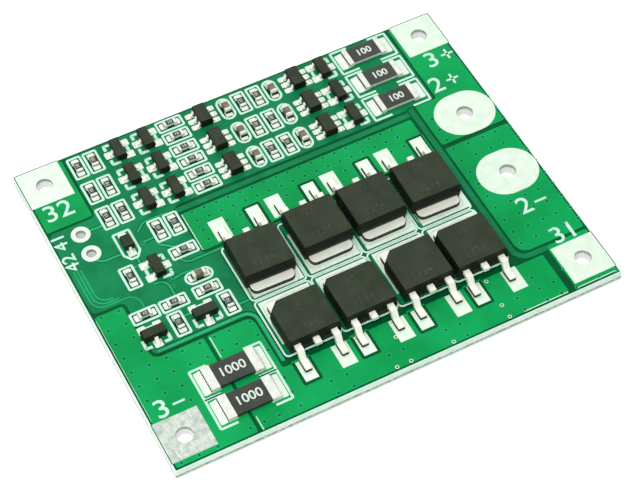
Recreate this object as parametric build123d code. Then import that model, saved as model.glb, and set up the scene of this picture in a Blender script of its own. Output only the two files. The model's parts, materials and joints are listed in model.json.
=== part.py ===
from build123d import *
from math import atan, degrees
import os

# Battery management board: three cell channels, eight power transistors and two current
# shunts, soldered to one circuit board with tinned lands for the wires. The origin is the
# middle of the underside, X runs along the long side and Y toward the cell channels. The
# power transistors set the board's length. Every other place is a share of its sides.

# Board with scored edges, where it was snapped from its panel
control_zone_length = 16.97
load_zone_length = 10.03
board_width = 45.0
board_thickness = 1.6
score_setback = 0.08
score_depth = 0.5
cut_overrun = 0.5

# Copper pours under the solder mask, and the channels between them
copper_depth = 0.07
trunk_gap_width = 0.4
pour_gap_width = 0.3
output_gap_width = 0.6
battery_gap_width = 0.9
edge_gap_width = 0.2
inner_trunk_shares = ((-0.230, 0.189), (0.319, 0.189), (0.319, -0.356), (0.388, -0.356))
outer_trunk_shares = ((-0.230, 0.212), (0.337, 0.212), (0.337, -0.337), (0.396, -0.337))
plus_pour_shares = ((0.337, 0.221), (0.391, 0.221), (0.391, 0.490))
output_split_shares = ((0.337, 0.061), (0.498, 0.061))
cell_pour_shares = ((0.388, -0.345), (0.388, -0.492))
shunt_split_shares = ((-0.316, -0.187), (-0.316, -0.492))
minus_pour_shares = (
    (-0.497, -0.003),
    (-0.427, -0.003),
    (-0.427, -0.182),
    (-0.209, -0.182),
    (-0.209, -0.352),
    (0.305, -0.352),
)
upper_cell_pour_shares = ((-0.497, 0.284), (-0.389, 0.284), (-0.389, 0.490))
source_pour_shares = ((-0.230, 0.182), (-0.230, 0.049), (-0.196, 0.049))
near_edge_shares = ((-0.497, -0.495), (0.497, -0.495))

# Tinned lands for the battery wires, one at each corner
land_stand = 0.04
land_edge_slope = 45.0
corner_land_size = 5.45
corner_land_margin = 0.15
near_land_margin = 1.05
corner_hole_radius = 1.0

# Tinned lands for the load wires, with round ends
output_land_length = 7.6
output_land_width = 6.4
output_land_margin = 0.25
output_hole_radius = 1.0
output_row_shares = (0.138, -0.087)

# Tinned lands for the sense wires
sense_land_radius = 1.15
sense_hole_radius = 0.6
sense_land_margin = 2.6
sense_row_shares = (0.2455, 0.178)

# Power transistor: moulded body
mosfet_width = 6.5
mosfet_length = 6.1
mosfet_height = 2.3
mosfet_parting_height = 1.05
mosfet_draft = 9.0
large_corner_cut = 1.2
small_corner_cut = 0.5
slight_corner_cut = 0.2
far_corner_cuts = ((slight_corner_cut, slight_corner_cut),) * 4
near_corner_cuts = (
    (large_corner_cut, slight_corner_cut),
    (small_corner_cut, small_corner_cut),
    (large_corner_cut, slight_corner_cut),
    (small_corner_cut, slight_corner_cut),
)

# Power transistor: tab and leads, punched and bent from one strip of copper
strip_thickness = 0.5
tab_width = 5.35
tab_reach = 1.0
tab_corner_radius = 0.7
slug_inset = 1.9
lead_width = 0.76
lead_pitch = 2.285
lead_height = 1.28
lead_shoulder = 0.75
lead_slope_run = 0.6
lead_reach = 2.75
stub_reach = 0.85

# Power transistor places: two rows of four, tabs facing each other
mosfet_columns = 4
mosfet_gap = 0.75
tab_row_gap = 2.4
mosfet_block_row_share = -0.150
drift_turn = 1.5
far_drift_shares = ((-0.032, -0.070, -1), (0.023, 0.010, 0), (-0.022, 0.015, 0), (-0.045, -0.012, -1))
near_drift_shares = ((0.020, 0.000, 0), (-0.012, 0.000, 0), (0.024, 0.030, 0), (-0.038, 0.000, 0))

# Solder lands under the power transistors
drain_land_side = 0.48
drain_land_end = 0.8
drain_land_length = 6.2
gate_land_width = 1.6
gate_land_length = 2.8
source_land_width = 1.9
source_land_length = 3.1
lead_land_inset = 1.1
gate_gap_width = 0.3

# Current shunts, two large flat chips in parallel
shunt_length = 6.4
shunt_width = 3.2
shunt_height = 0.62
shunt_terminal_length = 1.05
shunt_terminal_thickness = 0.08
shunt_gap = 0.95
shunt_land_length = 2.1
shunt_land_overhang = 0.9
shunt_block_shares = (-0.3036, -0.3539)

# Balance resistors, one for each cell
balance_length = 5.0
balance_width = 2.5
balance_height = 0.55
balance_terminal_length = 0.62
balance_terminal_thickness = 0.06
balance_land_length = 1.45
balance_land_overhang = 1.0
balance_column_share = 0.3152

# Chip resistors and chip capacitors
chip_length = 1.6
chip_width = 0.8
resistor_height = 0.45
resistor_terminal_length = 0.32
resistor_terminal_thickness = 0.04
capacitor_height = 0.8
capacitor_terminal_length = 0.35
capacitor_terminal_thickness = 0.03
chip_land_length = 0.85
chip_land_overhang = 0.5
chip_land_side = 0.05
stacked_chip_gap = 1.25

# Cell monitor circuits, with three leads along each side
monitor_width = 1.6
monitor_length = 2.9
monitor_height = 1.15
monitor_lead_width = 0.4
monitor_lead_pitch = 0.95
monitor_leads = 3
monitor_land_width = 0.7

# Small transistors, with one lead on one side and two on the other
transistor_width = 1.3
transistor_length = 2.9
transistor_height = 1.05
transistor_lead_width = 0.42
transistor_lead_pitch = 1.9
transistor_land_width = 1.0

# Diode, with a lead at each end
diode_width = 1.25
diode_length = 1.75
diode_height = 0.95
diode_lead_width = 0.32
diode_lead_reach = 0.45
diode_land_width = 1.0

# Leads and mouldings that the small parts share
small_draft = 8.0
small_parting_share = 0.5
small_strip_thickness = 0.15
small_lead_slope_run = 0.2
small_lead_reach = 0.6
small_land_length = 1.05
small_land_toe = 0.45

# Places of the cell channels, far row first
cell_row_shares = (0.448, 0.356, 0.2635)
upright_resistor_column_shares = (-0.368, -0.332, 0.0152, 0.0527)
stacked_resistor_column_share = -0.1464
capacitor_column_shares = (-0.0214, 0.0893)
monitor_column_shares = (-0.0768, 0.1464)
driver_column_shares = (-0.2755, -0.2104)
balance_driver_column_share = 0.2120

# Places of the control circuit at the left
control_upright_resistor_shares = (
    (-0.2857, 0.1656),
    (-0.2500, 0.1656),
    (-0.3875, 0.0622),
    (-0.3482, -0.1211),
    (-0.2384, -0.1211),
)
control_level_resistor_shares = (
    (-0.2625, 0.0778),
    (-0.4000, -0.0589),
    (-0.3357, -0.0589),
    (-0.2616, -0.0589),
)
control_capacitor_shares = (-0.2625, -0.0122)
control_transistor_shares = (-0.3304, 0.0578)
switch_transistor_shares = ((-0.4045, -0.1244), (-0.2920, -0.1244))
diode_shares = (-0.3589, 0.1600)

# The two rows of power transistors lie on either side of the block's middle
far_side = 1
near_side = -1

# Worked out from the values above
score_angle = degrees(atan(score_setback / score_depth))
seat_height = board_thickness + land_stand
mosfet_pitch = mosfet_width + mosfet_gap
board_length = control_zone_length + mosfet_columns * mosfet_pitch + load_zone_length
mosfet_half_length = mosfet_length / 2
tab_end = mosfet_half_length + tab_reach
mosfet_row_offset = tab_end + tab_row_gap / 2
stacked_resistor_spacing = chip_width + stacked_chip_gap
shunt_pitch = shunt_width + shunt_gap
lead_plane = Plane(origin=(0, 0, 0), x_dir=(0, -1, 0), z_dir=(-1, 0, 0))


def spot(shares):
    """A place on the board, from its shares of the length and width."""
    return shares[0] * board_length, shares[1] * board_width


def placed(shape, x, y, turn=0):
    """A part stood on its solder lands at a place, turned about its own middle."""
    return Pos(x, y, seat_height) * Rot(0, 0, turn) * shape


def land_plate(outline, x, y, turn=0):
    """A flat solder land on the board's upper face."""
    return Pos(x, y, board_thickness) * Rot(0, 0, turn) * extrude(outline, land_stand)


# Board and tinned lands

def board_blank():
    """The plate with its scored edge, which slopes in toward both faces."""
    outline = Rectangle(board_length, board_width)
    web_half = board_thickness / 2 - score_depth
    web = extrude(outline, web_half)
    slope = Pos(0, 0, web_half) * extrude(outline, score_depth, taper=score_angle)
    half = web + slope
    return Pos(0, 0, board_thickness / 2) * (half + mirror(half, about=Plane.XY))


def top_cut(outline):
    """What an outline takes out of the upper face, down to the laminate."""
    floor_height = board_thickness - copper_depth
    return Pos(0, 0, floor_height) * extrude(outline, copper_depth + cut_overrun)


def channel(shares, width):
    """The cut between two pours, along a path."""
    path = Polyline(*[spot(share) for share in shares])
    return top_cut(trace(path, width))


def pour_channels():
    """All the cuts between the pours."""
    cuts = [
        channel(inner_trunk_shares, trunk_gap_width),
        channel(outer_trunk_shares, trunk_gap_width),
        channel(plus_pour_shares, pour_gap_width),
        channel(output_split_shares, output_gap_width),
        channel(cell_pour_shares, battery_gap_width),
        channel(shunt_split_shares, trunk_gap_width),
        channel(minus_pour_shares, trunk_gap_width),
        channel(upper_cell_pour_shares, pour_gap_width),
        channel(source_pour_shares, pour_gap_width),
        channel(near_edge_shares, edge_gap_width),
    ]
    return cuts + gate_gaps()


def gate_gaps():
    """A cut around each gate land, which stands alone in a pour."""
    island = Rectangle(gate_land_width, gate_land_length)
    clearing = Rectangle(gate_land_width + 2 * gate_gap_width, gate_land_length + 2 * gate_gap_width)
    return [Pos(x, y, 0) * top_cut(clearing - island) for x, y in gate_land_places()]


def gate_land_places():
    """The middle of each gate land on the board."""
    reach = lead_land_middle(gate_land_length)
    places = [(x + lead_pitch, y + reach) for x, y in mosfet_grid(far_side)]
    return places + [(x - lead_pitch, y - reach) for x, y in mosfet_grid(near_side)]


def corner_land_places():
    """Name and middle of each land at a corner."""
    x = board_length / 2 - corner_land_margin - corner_land_size / 2
    far_y = board_width / 2 - corner_land_margin - corner_land_size / 2
    near_y = near_land_margin + corner_land_size / 2 - board_width / 2
    return {
        "battery_plus_land": (x, far_y),
        "battery_upper_cell_land": (-x, far_y),
        "battery_lower_cell_land": (x, near_y),
        "battery_minus_land": (-x, near_y),
    }


def wire_lands():
    """Name, outline, hole radius and middle of every land for a wire."""
    square = Rectangle(corner_land_size, corner_land_size)
    lands = [(name, square, corner_hole_radius, place) for name, place in corner_land_places().items()]
    obround = SlotOverall(output_land_length, output_land_width)
    output_x = board_length / 2 - output_land_margin - output_land_length / 2
    for name, row in zip(("output_plus_land", "output_minus_land"), output_row_shares):
        lands.append((name, obround, output_hole_radius, (output_x, row * board_width)))
    disc = Circle(sense_land_radius)
    sense_x = sense_land_margin + sense_land_radius - board_length / 2
    for name, row in zip(("sense_land_1", "sense_land_2"), sense_row_shares):
        lands.append((name, disc, sense_hole_radius, (sense_x, row * board_width)))
    return lands


def wire_land(outline, hole_radius, place):
    """A land round its wire hole, where the solder draws back to a sloping edge."""
    ring = outline - Circle(hole_radius)
    return Pos(*place, board_thickness) * extrude(ring, land_stand, taper=land_edge_slope)


def wire_hole(hole_radius, place):
    """What a wire hole takes out of the board."""
    return Pos(*place, 0) * extrude(Circle(hole_radius), board_thickness + cut_overrun)


def make_board():
    """The board with the channels between its pours, and with its wire holes."""
    cuts = pour_channels()
    cuts += [wire_hole(hole_radius, place) for name, outline, hole_radius, place in wire_lands()]
    return board_blank() - cuts


# Power transistors


def mosfet_grid(side):
    """The middles of one row of power transistor footprints."""
    first_x = control_zone_length + mosfet_pitch / 2 - board_length / 2
    y = mosfet_block_row_share * board_width + side * mosfet_row_offset
    return [(first_x + mosfet_pitch * column, y) for column in range(mosfet_columns)]


def lead_land_middle(length):
    """How far the middle of a lead's land lies from the transistor's middle."""
    return mosfet_half_length + lead_land_inset + length / 2


def mosfet_outline(left_cut, right_cut):
    """The body's outline at its parting line, with its two corners at the tab cut."""
    outline = Rectangle(mosfet_width, mosfet_length)
    left_corner = outline.vertices().group_by(Axis.Y)[-1].sort_by(Axis.X)[0]
    outline = chamfer(left_corner, left_cut)
    right_corner = outline.vertices().group_by(Axis.Y)[-1].sort_by(Axis.X)[-1]
    return chamfer(right_corner, right_cut)


def moulding(outline, height, parting_height, draft):
    """A moulded body that slopes in above and below its parting line."""
    upper = extrude(outline, height - parting_height, taper=draft)
    lower = mirror(extrude(outline, parting_height, taper=draft), about=Plane.XY)
    return Pos(0, 0, parting_height) * (upper + lower)


def strip_lead(path, thickness, width, body):
    """Copper strip that follows a path from the body's middle, as far as it shows outside."""
    return extrude(lead_plane * trace(path, thickness), width / 2, both=True) - body


def mosfet_slug():
    """The tab and the plate under the chip, in one piece."""
    plate_start = slug_inset - mosfet_half_length
    plate_length = tab_end - plate_start
    plate = Pos(0, plate_start + plate_length / 2, 0) * Rectangle(tab_width, plate_length)
    tab_corners = plate.vertices().group_by(Axis.Y)[-1]
    return extrude(fillet(tab_corners, tab_corner_radius), strip_thickness)


def mosfet_lead(body):
    """A gate or source lead: out of the body, down to the board and along it."""
    foot_height = strip_thickness / 2
    bend = mosfet_half_length + lead_shoulder
    path = Polyline(
        (0, lead_height),
        (bend, lead_height),
        (bend + lead_slope_run, foot_height),
        (mosfet_half_length + lead_reach, foot_height),
    )
    return strip_lead(path, strip_thickness, lead_width, body)


def mosfet_stub(body):
    """The middle lead, cut off short of the board."""
    path = Polyline((0, lead_height), (mosfet_half_length + stub_reach, lead_height))
    return strip_lead(path, strip_thickness, lead_width, body)


def mosfet_part(corner_cuts):
    """The body, closed round its slug, and the leadframe as far as it shows."""
    outline = mosfet_outline(*corner_cuts)
    block = moulding(outline, mosfet_height, mosfet_parting_height, mosfet_draft)
    slug = mosfet_slug()
    lead = Pos(lead_pitch, 0, 0) * mosfet_lead(Pos(-lead_pitch, 0, 0) * block)
    leads = [lead, mirror(lead, about=Plane.YZ), mosfet_stub(block)]
    return block - slug, [slug] + leads


def mosfet_row(side, corner_cuts, turn, drifts):
    """Body and leadframe of each transistor in a row, each a little off its footprint."""
    row = []
    for (x, y), cuts, (drift_x, drift_y, drift) in zip(mosfet_grid(side), corner_cuts, drifts):
        spot_x = x + drift_x * mosfet_width
        spot_y = y + drift_y * mosfet_length
        angle = turn + drift * drift_turn
        body, leadframe = mosfet_part(cuts)
        frame = [placed(piece, spot_x, spot_y, angle) for piece in leadframe]
        row.append((placed(body, spot_x, spot_y, angle), frame))
    return row


def mosfet_lands():
    """Drain, gate and source lands of both rows."""
    drain = Rectangle(tab_width + 2 * drain_land_side, drain_land_length)
    gate = Rectangle(gate_land_width, gate_land_length)
    source = Rectangle(source_land_width, source_land_length)
    drain_reach = tab_end + drain_land_end - drain_land_length / 2
    source_reach = lead_land_middle(source_land_length)
    lands = [land_plate(gate, x, y) for x, y in gate_land_places()]
    for side in (far_side, near_side):
        for x, y in mosfet_grid(side):
            lands.append(land_plate(drain, x, y - side * drain_reach))
            lands.append(land_plate(source, x - side * lead_pitch, y + side * source_reach))
    return lands


# Chips with a metal terminal at each end

def chip_body(length, width, height, terminal_length, wall):
    """The ceramic block with its coat, as far as it shows between the terminals."""
    slab = Rectangle(length - 2 * terminal_length, width - 2 * wall)
    return Pos(0, 0, wall) * extrude(slab, height - 2 * wall)


def chip_terminals(length, width, height, terminal_length):
    """The two capped ends, which stand proud of the block by the metal's thickness."""
    cap = extrude(Rectangle(terminal_length, width), height)
    reach = (length - terminal_length) / 2
    return [Pos(side * reach, 0, 0) * cap for side in (-1, 1)]


def end_lands(length, width, land_length, overhang, x, y, turn=0):
    """The two solder lands under a chip, which stand out past its ends."""
    reach = length / 2 + overhang - land_length / 2
    pair = [Pos(side * reach, 0, 0) * Rectangle(land_length, width) for side in (-1, 1)]
    return [land_plate(outline, x, y, turn) for outline in pair]


# Moulded parts with small bent leads

def small_lead(half_width, width, body, reach=small_lead_reach):
    """A flat lead that leaves the body at its parting line and ends in a foot."""
    foot_height = small_strip_thickness / 2
    exit_height = body.bounding_box().max.Z * small_parting_share
    path = Polyline(
        (0, exit_height),
        (half_width, exit_height),
        (half_width + small_lead_slope_run, foot_height),
        (half_width + reach, foot_height),
    )
    return strip_lead(path, small_strip_thickness, width, body)


def small_part(width, length, height, lead_width, left_places, right_places):
    """Body and leads of a part whose leads leave its long sides."""
    body = moulding(Rectangle(width, length), height, height * small_parting_share, small_draft)
    lead = small_lead(width / 2, lead_width, Rot(0, 0, 90) * body)
    leads = [Rot(0, 0, -90) * Pos(offset, 0, 0) * lead for offset in left_places]
    leads += [Rot(0, 0, 90) * Pos(offset, 0, 0) * lead for offset in right_places]
    return body, leads


def lead_lands(width, land_width, left_places, right_places, x, y, turn=0):
    """The solder lands under the leads of such a part."""
    outline = Rectangle(small_land_length, land_width)
    reach = width / 2 + small_lead_reach + small_land_toe - small_land_length / 2
    lands = [Pos(-reach, -offset, 0) * outline for offset in left_places]
    lands += [Pos(reach, offset, 0) * outline for offset in right_places]
    return [land_plate(land, x, y, turn) for land in lands]


def diode_part():
    """Body and leads of the diode, with a lead at each end."""
    parting_height = diode_height * small_parting_share
    body = moulding(Rectangle(diode_width, diode_length), diode_height, parting_height, small_draft)
    lead = small_lead(diode_length / 2, diode_lead_width, body, diode_lead_reach)
    return body, [lead, Rot(0, 0, 180) * lead]


# Where the small parts stand

def resistor_places():
    """Middle and turn of every chip resistor."""
    rows = [share * board_width for share in cell_row_shares]
    places = []
    for y in rows:
        for share in upright_resistor_column_shares:
            places.append((share * board_length, y, 90))
        for step in (-1, 1):
            stacked_y = y + step * stacked_resistor_spacing / 2
            places.append((stacked_resistor_column_share * board_length, stacked_y, 0))
    places += [(*spot(shares), 90) for shares in control_upright_resistor_shares]
    places += [(*spot(shares), 0) for shares in control_level_resistor_shares]
    return places


def capacitor_places():
    """Middle and turn of every chip capacitor."""
    places = [(*spot(control_capacitor_shares), 0)]
    for row in cell_row_shares:
        places += [(*spot((column, row)), 90) for column in capacitor_column_shares]
    return places


def transistor_groups():
    """Middle and turn of each small transistor, grouped by the circuit it serves."""
    groups = {}
    for number, row in enumerate(cell_row_shares, start=1):
        drivers = [(*spot((column, row)), 180) for column in driver_column_shares]
        drivers.append((*spot((balance_driver_column_share, row)), 0))
        groups[f"cell_{number}_transistor"] = drivers
    control = [(*spot(control_transistor_shares), 0)]
    control += [(*spot(shares), -90) for shares in switch_transistor_shares]
    groups["control_transistor"] = control
    return groups


# Nodes

def add_group(nodes, name, shapes):
    """One node of several separate solids."""
    solids = [solid for shape in shapes for solid in shape.solids()]
    nodes[name] = solids[0] if len(solids) == 1 else Compound(children=solids)


def add_mosfets(nodes, lands):
    """The two rows of power transistors, numbered from the left, far row first."""
    rows = mosfet_row(far_side, far_corner_cuts, 180, far_drift_shares)
    rows += mosfet_row(near_side, near_corner_cuts, 0, near_drift_shares)
    for number, (body, leadframe) in enumerate(rows, start=1):
        add_group(nodes, f"mosfet_{number}_body", [body])
        add_group(nodes, f"mosfet_{number}_leadframe", leadframe)
    add_group(nodes, "mosfet_solder_lands", lands)


def add_shunts(nodes, lands):
    """The two shunts, one in front of the other."""
    sizes = (shunt_length, shunt_width, shunt_height, shunt_terminal_length)
    body = chip_body(*sizes, shunt_terminal_thickness)
    terminals = chip_terminals(*sizes)
    x, middle_y = spot(shunt_block_shares)
    for number, side in enumerate((1, -1), start=1):
        y = middle_y + side * shunt_pitch / 2
        add_group(nodes, f"shunt_{number}_body", [placed(body, x, y)])
        add_group(nodes, f"shunt_{number}_terminals", [placed(piece, x, y) for piece in terminals])
        lands += end_lands(shunt_length, shunt_width, shunt_land_length, shunt_land_overhang, x, y)


def add_balance_resistors(nodes, lands):
    """The balance resistors, one in each cell row."""
    sizes = (balance_length, balance_width, balance_height, balance_terminal_length)
    body = chip_body(*sizes, balance_terminal_thickness)
    terminals = chip_terminals(*sizes)
    for number, row in enumerate(cell_row_shares, start=1):
        x, y = spot((balance_column_share, row))
        add_group(nodes, f"balance_resistor_{number}_body", [placed(body, x, y)])
        ends = [placed(piece, x, y) for piece in terminals]
        add_group(nodes, f"balance_resistor_{number}_terminals", ends)
        lands += end_lands(
            balance_length, balance_width, balance_land_length, balance_land_overhang, x, y
        )


def add_monitors(nodes, lands):
    """The cell monitor circuits, two in each cell row."""
    offsets = [(lead - (monitor_leads - 1) / 2) * monitor_lead_pitch for lead in range(monitor_leads)]
    body, leads = small_part(
        monitor_width, monitor_length, monitor_height, monitor_lead_width, offsets, offsets
    )
    for column, name in zip(monitor_column_shares, ("left", "right")):
        column_leads = []
        for number, row in enumerate(cell_row_shares, start=1):
            x, y = spot((column, row))
            add_group(nodes, f"{name}_monitor_{number}_body", [placed(body, x, y)])
            column_leads += [placed(lead, x, y) for lead in leads]
            lands += lead_lands(monitor_width, monitor_land_width, offsets, offsets, x, y)
        add_group(nodes, f"{name}_monitor_leads", column_leads)


def add_transistors(nodes, lands):
    """The small transistors, one pair of nodes for each group."""
    pair = (-transistor_lead_pitch / 2, transistor_lead_pitch / 2)
    single = (0,)
    body, leads = small_part(
        transistor_width, transistor_length, transistor_height, transistor_lead_width, pair, single
    )
    for name, places in transistor_groups().items():
        bodies = [placed(body, *place) for place in places]
        add_group(nodes, f"{name}_bodies", bodies)
        add_group(nodes, f"{name}_leads", [placed(lead, *place) for place in places for lead in leads])
        for place in places:
            lands += lead_lands(transistor_width, transistor_land_width, pair, single, *place)


def add_diode(nodes, lands):
    """The diode of the control circuit."""
    body, leads = diode_part()
    x, y = spot(diode_shares)
    add_group(nodes, "diode_body", [placed(body, x, y)])
    add_group(nodes, "diode_leads", [placed(lead, x, y) for lead in leads])
    span = diode_length + 2 * diode_lead_reach
    lands += end_lands(span, diode_land_width, small_land_length, small_land_toe, x, y, 90)


def add_chips(nodes, lands, kind, places, height, terminal_length, wall):
    """All chips of one kind, as one group of bodies and one of terminals."""
    sizes = (chip_length, chip_width, height, terminal_length)
    body = chip_body(*sizes, wall)
    terminals = chip_terminals(*sizes)
    add_group(nodes, f"{kind}_bodies", [placed(body, *place) for place in places])
    ends = [placed(piece, *place) for place in places for piece in terminals]
    add_group(nodes, f"{kind}_terminals", ends)
    width = chip_width + 2 * chip_land_side
    for place in places:
        lands += end_lands(chip_length, width, chip_land_length, chip_land_overhang, *place)


def add_resistors_and_capacitors(nodes, lands):
    """The chip resistors and the chip capacitors."""
    resistor = (resistor_height, resistor_terminal_length, resistor_terminal_thickness)
    add_chips(nodes, lands, "chip_resistor", resistor_places(), *resistor)
    capacitor = (capacitor_height, capacitor_terminal_length, capacitor_terminal_thickness)
    add_chips(nodes, lands, "chip_capacitor", capacitor_places(), *capacitor)


def make_nodes():
    """Every node by name."""
    nodes = {"board": make_board()}
    for name, outline, hole_radius, place in wire_lands():
        nodes[name] = wire_land(outline, hole_radius, place)
    add_mosfets(nodes, mosfet_lands())
    lands = []
    add_shunts(nodes, lands)
    add_balance_resistors(nodes, lands)
    add_monitors(nodes, lands)
    add_transistors(nodes, lands)
    add_diode(nodes, lands)
    add_resistors_and_capacitors(nodes, lands)
    add_group(nodes, "small_solder_lands", lands)
    return nodes


os.makedirs("parts", exist_ok=True)
for name, shape in make_nodes().items():
    export_step(shape, f"parts/{name}.step")
    print(name, round(shape.volume, 3))
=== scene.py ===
# %% [markdown]
# # A battery management board, dressed in Blender
#
# The imported CAD model gives every part at its real size. Here it gets its finish: solder
# mask, tin, moulded epoxy, print. The lesson goes from the camera to the smallest marks.
#
# The frame comes first. It holds each CAD node as a mesh at its place, and nothing in it
# is moved. Its box is measured at once.

# %% Load the frame
import json
import math

import bmesh
import bpy
from mathutils import Matrix, Vector
from mathutils.geometry import convex_hull_2d

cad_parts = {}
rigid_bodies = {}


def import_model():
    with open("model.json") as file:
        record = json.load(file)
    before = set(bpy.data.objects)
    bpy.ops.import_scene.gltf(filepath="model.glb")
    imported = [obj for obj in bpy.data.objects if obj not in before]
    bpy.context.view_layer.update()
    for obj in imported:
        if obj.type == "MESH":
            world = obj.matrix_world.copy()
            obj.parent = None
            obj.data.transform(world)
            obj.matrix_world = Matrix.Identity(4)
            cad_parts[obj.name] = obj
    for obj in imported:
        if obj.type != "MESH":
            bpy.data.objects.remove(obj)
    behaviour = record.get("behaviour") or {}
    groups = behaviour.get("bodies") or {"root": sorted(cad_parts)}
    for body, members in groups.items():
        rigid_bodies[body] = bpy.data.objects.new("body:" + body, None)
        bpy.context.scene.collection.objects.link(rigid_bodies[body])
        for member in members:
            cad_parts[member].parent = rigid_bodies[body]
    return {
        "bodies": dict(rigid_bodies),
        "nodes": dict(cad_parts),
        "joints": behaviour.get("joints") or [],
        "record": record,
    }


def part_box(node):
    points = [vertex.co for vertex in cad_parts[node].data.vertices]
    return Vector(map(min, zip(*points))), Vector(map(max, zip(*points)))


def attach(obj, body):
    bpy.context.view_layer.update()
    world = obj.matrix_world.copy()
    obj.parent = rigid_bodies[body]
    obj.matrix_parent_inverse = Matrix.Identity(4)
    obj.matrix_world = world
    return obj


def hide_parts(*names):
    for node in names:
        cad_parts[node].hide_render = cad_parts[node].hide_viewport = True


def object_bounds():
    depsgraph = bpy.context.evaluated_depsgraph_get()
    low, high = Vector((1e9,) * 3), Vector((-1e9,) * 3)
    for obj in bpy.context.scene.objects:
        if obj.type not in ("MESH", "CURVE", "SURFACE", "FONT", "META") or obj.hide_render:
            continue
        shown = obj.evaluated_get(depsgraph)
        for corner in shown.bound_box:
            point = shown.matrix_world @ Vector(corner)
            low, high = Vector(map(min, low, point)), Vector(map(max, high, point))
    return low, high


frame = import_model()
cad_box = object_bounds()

MM = 0.001
nodes = frame["nodes"]
size = (cad_box[1] - cad_box[0]) / MM
print("board and parts, mm:", [round(value, 2) for value in size])

# %% [markdown]
# ## Camera
#
# The photograph looks down on the board from the left of its near side. A product shot like
# this uses a long lens from a distance, which keeps the far edge almost as long as the near
# one. The lens and the place were worked out from the board's four corners, so every part
# lands where the photograph has it. An aim point, two angles and a distance say it best.

# %% Place the camera
VIEW_AZIMUTH = math.radians(-27.015)
VIEW_ELEVATION = math.radians(53.901)
VIEW_ROLL = math.radians(-0.696)
VIEW_DISTANCE = 235.05 * MM
VIEW_AIM = Vector((-0.802, -3.599, 1.6)) * MM
VIEW_LENS = 115.454


def toward_camera(azimuth, elevation):
    """The direction from the aim point back to the camera."""
    level = math.cos(elevation)
    return Vector((math.sin(azimuth) * level, -math.cos(azimuth) * level, math.sin(elevation)))


def make_camera():
    """A camera with a long lens, aimed and rolled as the photograph was."""
    camera = bpy.data.objects.new("camera", bpy.data.cameras.new("camera"))
    bpy.context.scene.collection.objects.link(camera)
    camera.data.lens = VIEW_LENS
    camera.data.clip_start = VIEW_DISTANCE / 10
    camera.data.clip_end = VIEW_DISTANCE * 10
    back = toward_camera(VIEW_AZIMUTH, VIEW_ELEVATION)
    turn = (-back).to_track_quat("-Z", "Y").to_matrix().to_4x4()
    place = Matrix.Translation(VIEW_AIM + back * VIEW_DISTANCE)
    camera.matrix_world = place @ turn @ Matrix.Rotation(VIEW_ROLL, 4, "Z")
    bpy.context.scene.camera = camera
    return camera


camera = make_camera()
print("camera, mm:", [round(value / MM, 1) for value in camera.location])

# %% [markdown]
# ## Light
#
# White sweeps and large soft lamps give a shadowless picture. The world is an even white,
# a wide lamp behind the board puts a soft sheen on the flat tops, and a second one in front
# keeps the near sides readable. A weak one lifts the left side of the board. Two helpers for
# nodes come first, because the floor and the finishes use them too.

# %% Light the stage
WHITE = (1.0, 1.0, 1.0, 1.0)
WORLD_STRENGTH = 0.51
LAMPS = (
    ("back_softbox", (60.0, 210.0, 260.0), 180.0, 0.14),
    ("front_softbox", (-120.0, -130.0, 320.0), 160.0, 0.46),
    ("left_softbox", (-300.0, -40.0, 80.0), 160.0, 0.16),
)


def feed(tree, value, socket):
    """Links an input to another node's output, or sets it to a plain value."""
    if isinstance(value, bpy.types.NodeSocket):
        tree.links.new(value, socket)
    else:
        socket.default_value = value


def worked_out(tree, operation, first, second):
    """The result of a sum or a comparison of two values."""
    node = tree.nodes.new("ShaderNodeMath")
    node.operation = operation
    feed(tree, first, node.inputs[0])
    feed(tree, second, node.inputs[1])
    return node.outputs[0]


def seen_directly(tree):
    """One for what the camera sees, also in a reflection or through glass, else zero."""
    path = tree.nodes.new("ShaderNodeLightPath")
    seen = path.outputs["Is Camera Ray"]
    for kind in ("Is Glossy Ray", "Is Transmission Ray"):
        seen = worked_out(tree, "MAXIMUM", seen, path.outputs[kind])
    return seen


def make_world():
    """An even white surround, full white where the camera looks past everything."""
    world = bpy.data.worlds.new("studio")
    world.use_nodes = True
    tree = world.node_tree
    tree.nodes.clear()
    mix = tree.nodes.new("ShaderNodeMixShader")
    out = tree.nodes.new("ShaderNodeOutputWorld")
    tree.links.new(seen_directly(tree), mix.inputs[0])
    for index, strength in ((1, WORLD_STRENGTH), (2, 1.0)):
        glow = tree.nodes.new("ShaderNodeBackground")
        glow.inputs["Color"].default_value = WHITE
        glow.inputs["Strength"].default_value = strength
        tree.links.new(glow.outputs[0], mix.inputs[index])
    tree.links.new(mix.outputs[0], out.inputs["Surface"])
    bpy.context.scene.world = world


def make_lamp(name, place, width, strength):
    """A square area lamp aimed at the board; strength is the light it casts there."""
    lamp = bpy.data.lights.new(name, "AREA")
    lamp.shape = "SQUARE"
    lamp.size = width * MM
    spot = Vector(place) * MM
    lamp.energy = strength * math.pi**2 * spot.length_squared
    body = bpy.data.objects.new(name, lamp)
    bpy.context.scene.collection.objects.link(body)
    body.location = spot
    body.rotation_euler = (-spot).to_track_quat("-Z", "Y").to_euler()
    print(f"{name}: {spot.length / MM:.0f} mm away")


make_world()
for row in LAMPS:
    make_lamp(*row)
bpy.context.scene.view_settings.view_transform = "Standard"

# %% [markdown]
# ## Floor
#
# The board lies on white paper, a wide sheet that glows a little for the camera and keeps a
# shadow. Plain paper would leave the underside black. So the sheet is clear from beneath, and
# for a very short ray as well, which lets light come to the faces that touch it.

# %% Lay the floor
FLOOR_SIDE = 3000.0 * MM
FLOOR_TONE = (0.8, 0.8, 0.8, 1.0)
FLOOR_ROUGHNESS = 0.9
FLOOR_SHEEN = 0.1
FLOOR_GLOW = 0.5
FLOOR_DROP = 0.02 * MM
TOUCHING = 0.2 * MM
CORNER_SIGNS = ((-1, -1), (1, -1), (1, 1), (-1, 1))


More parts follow.
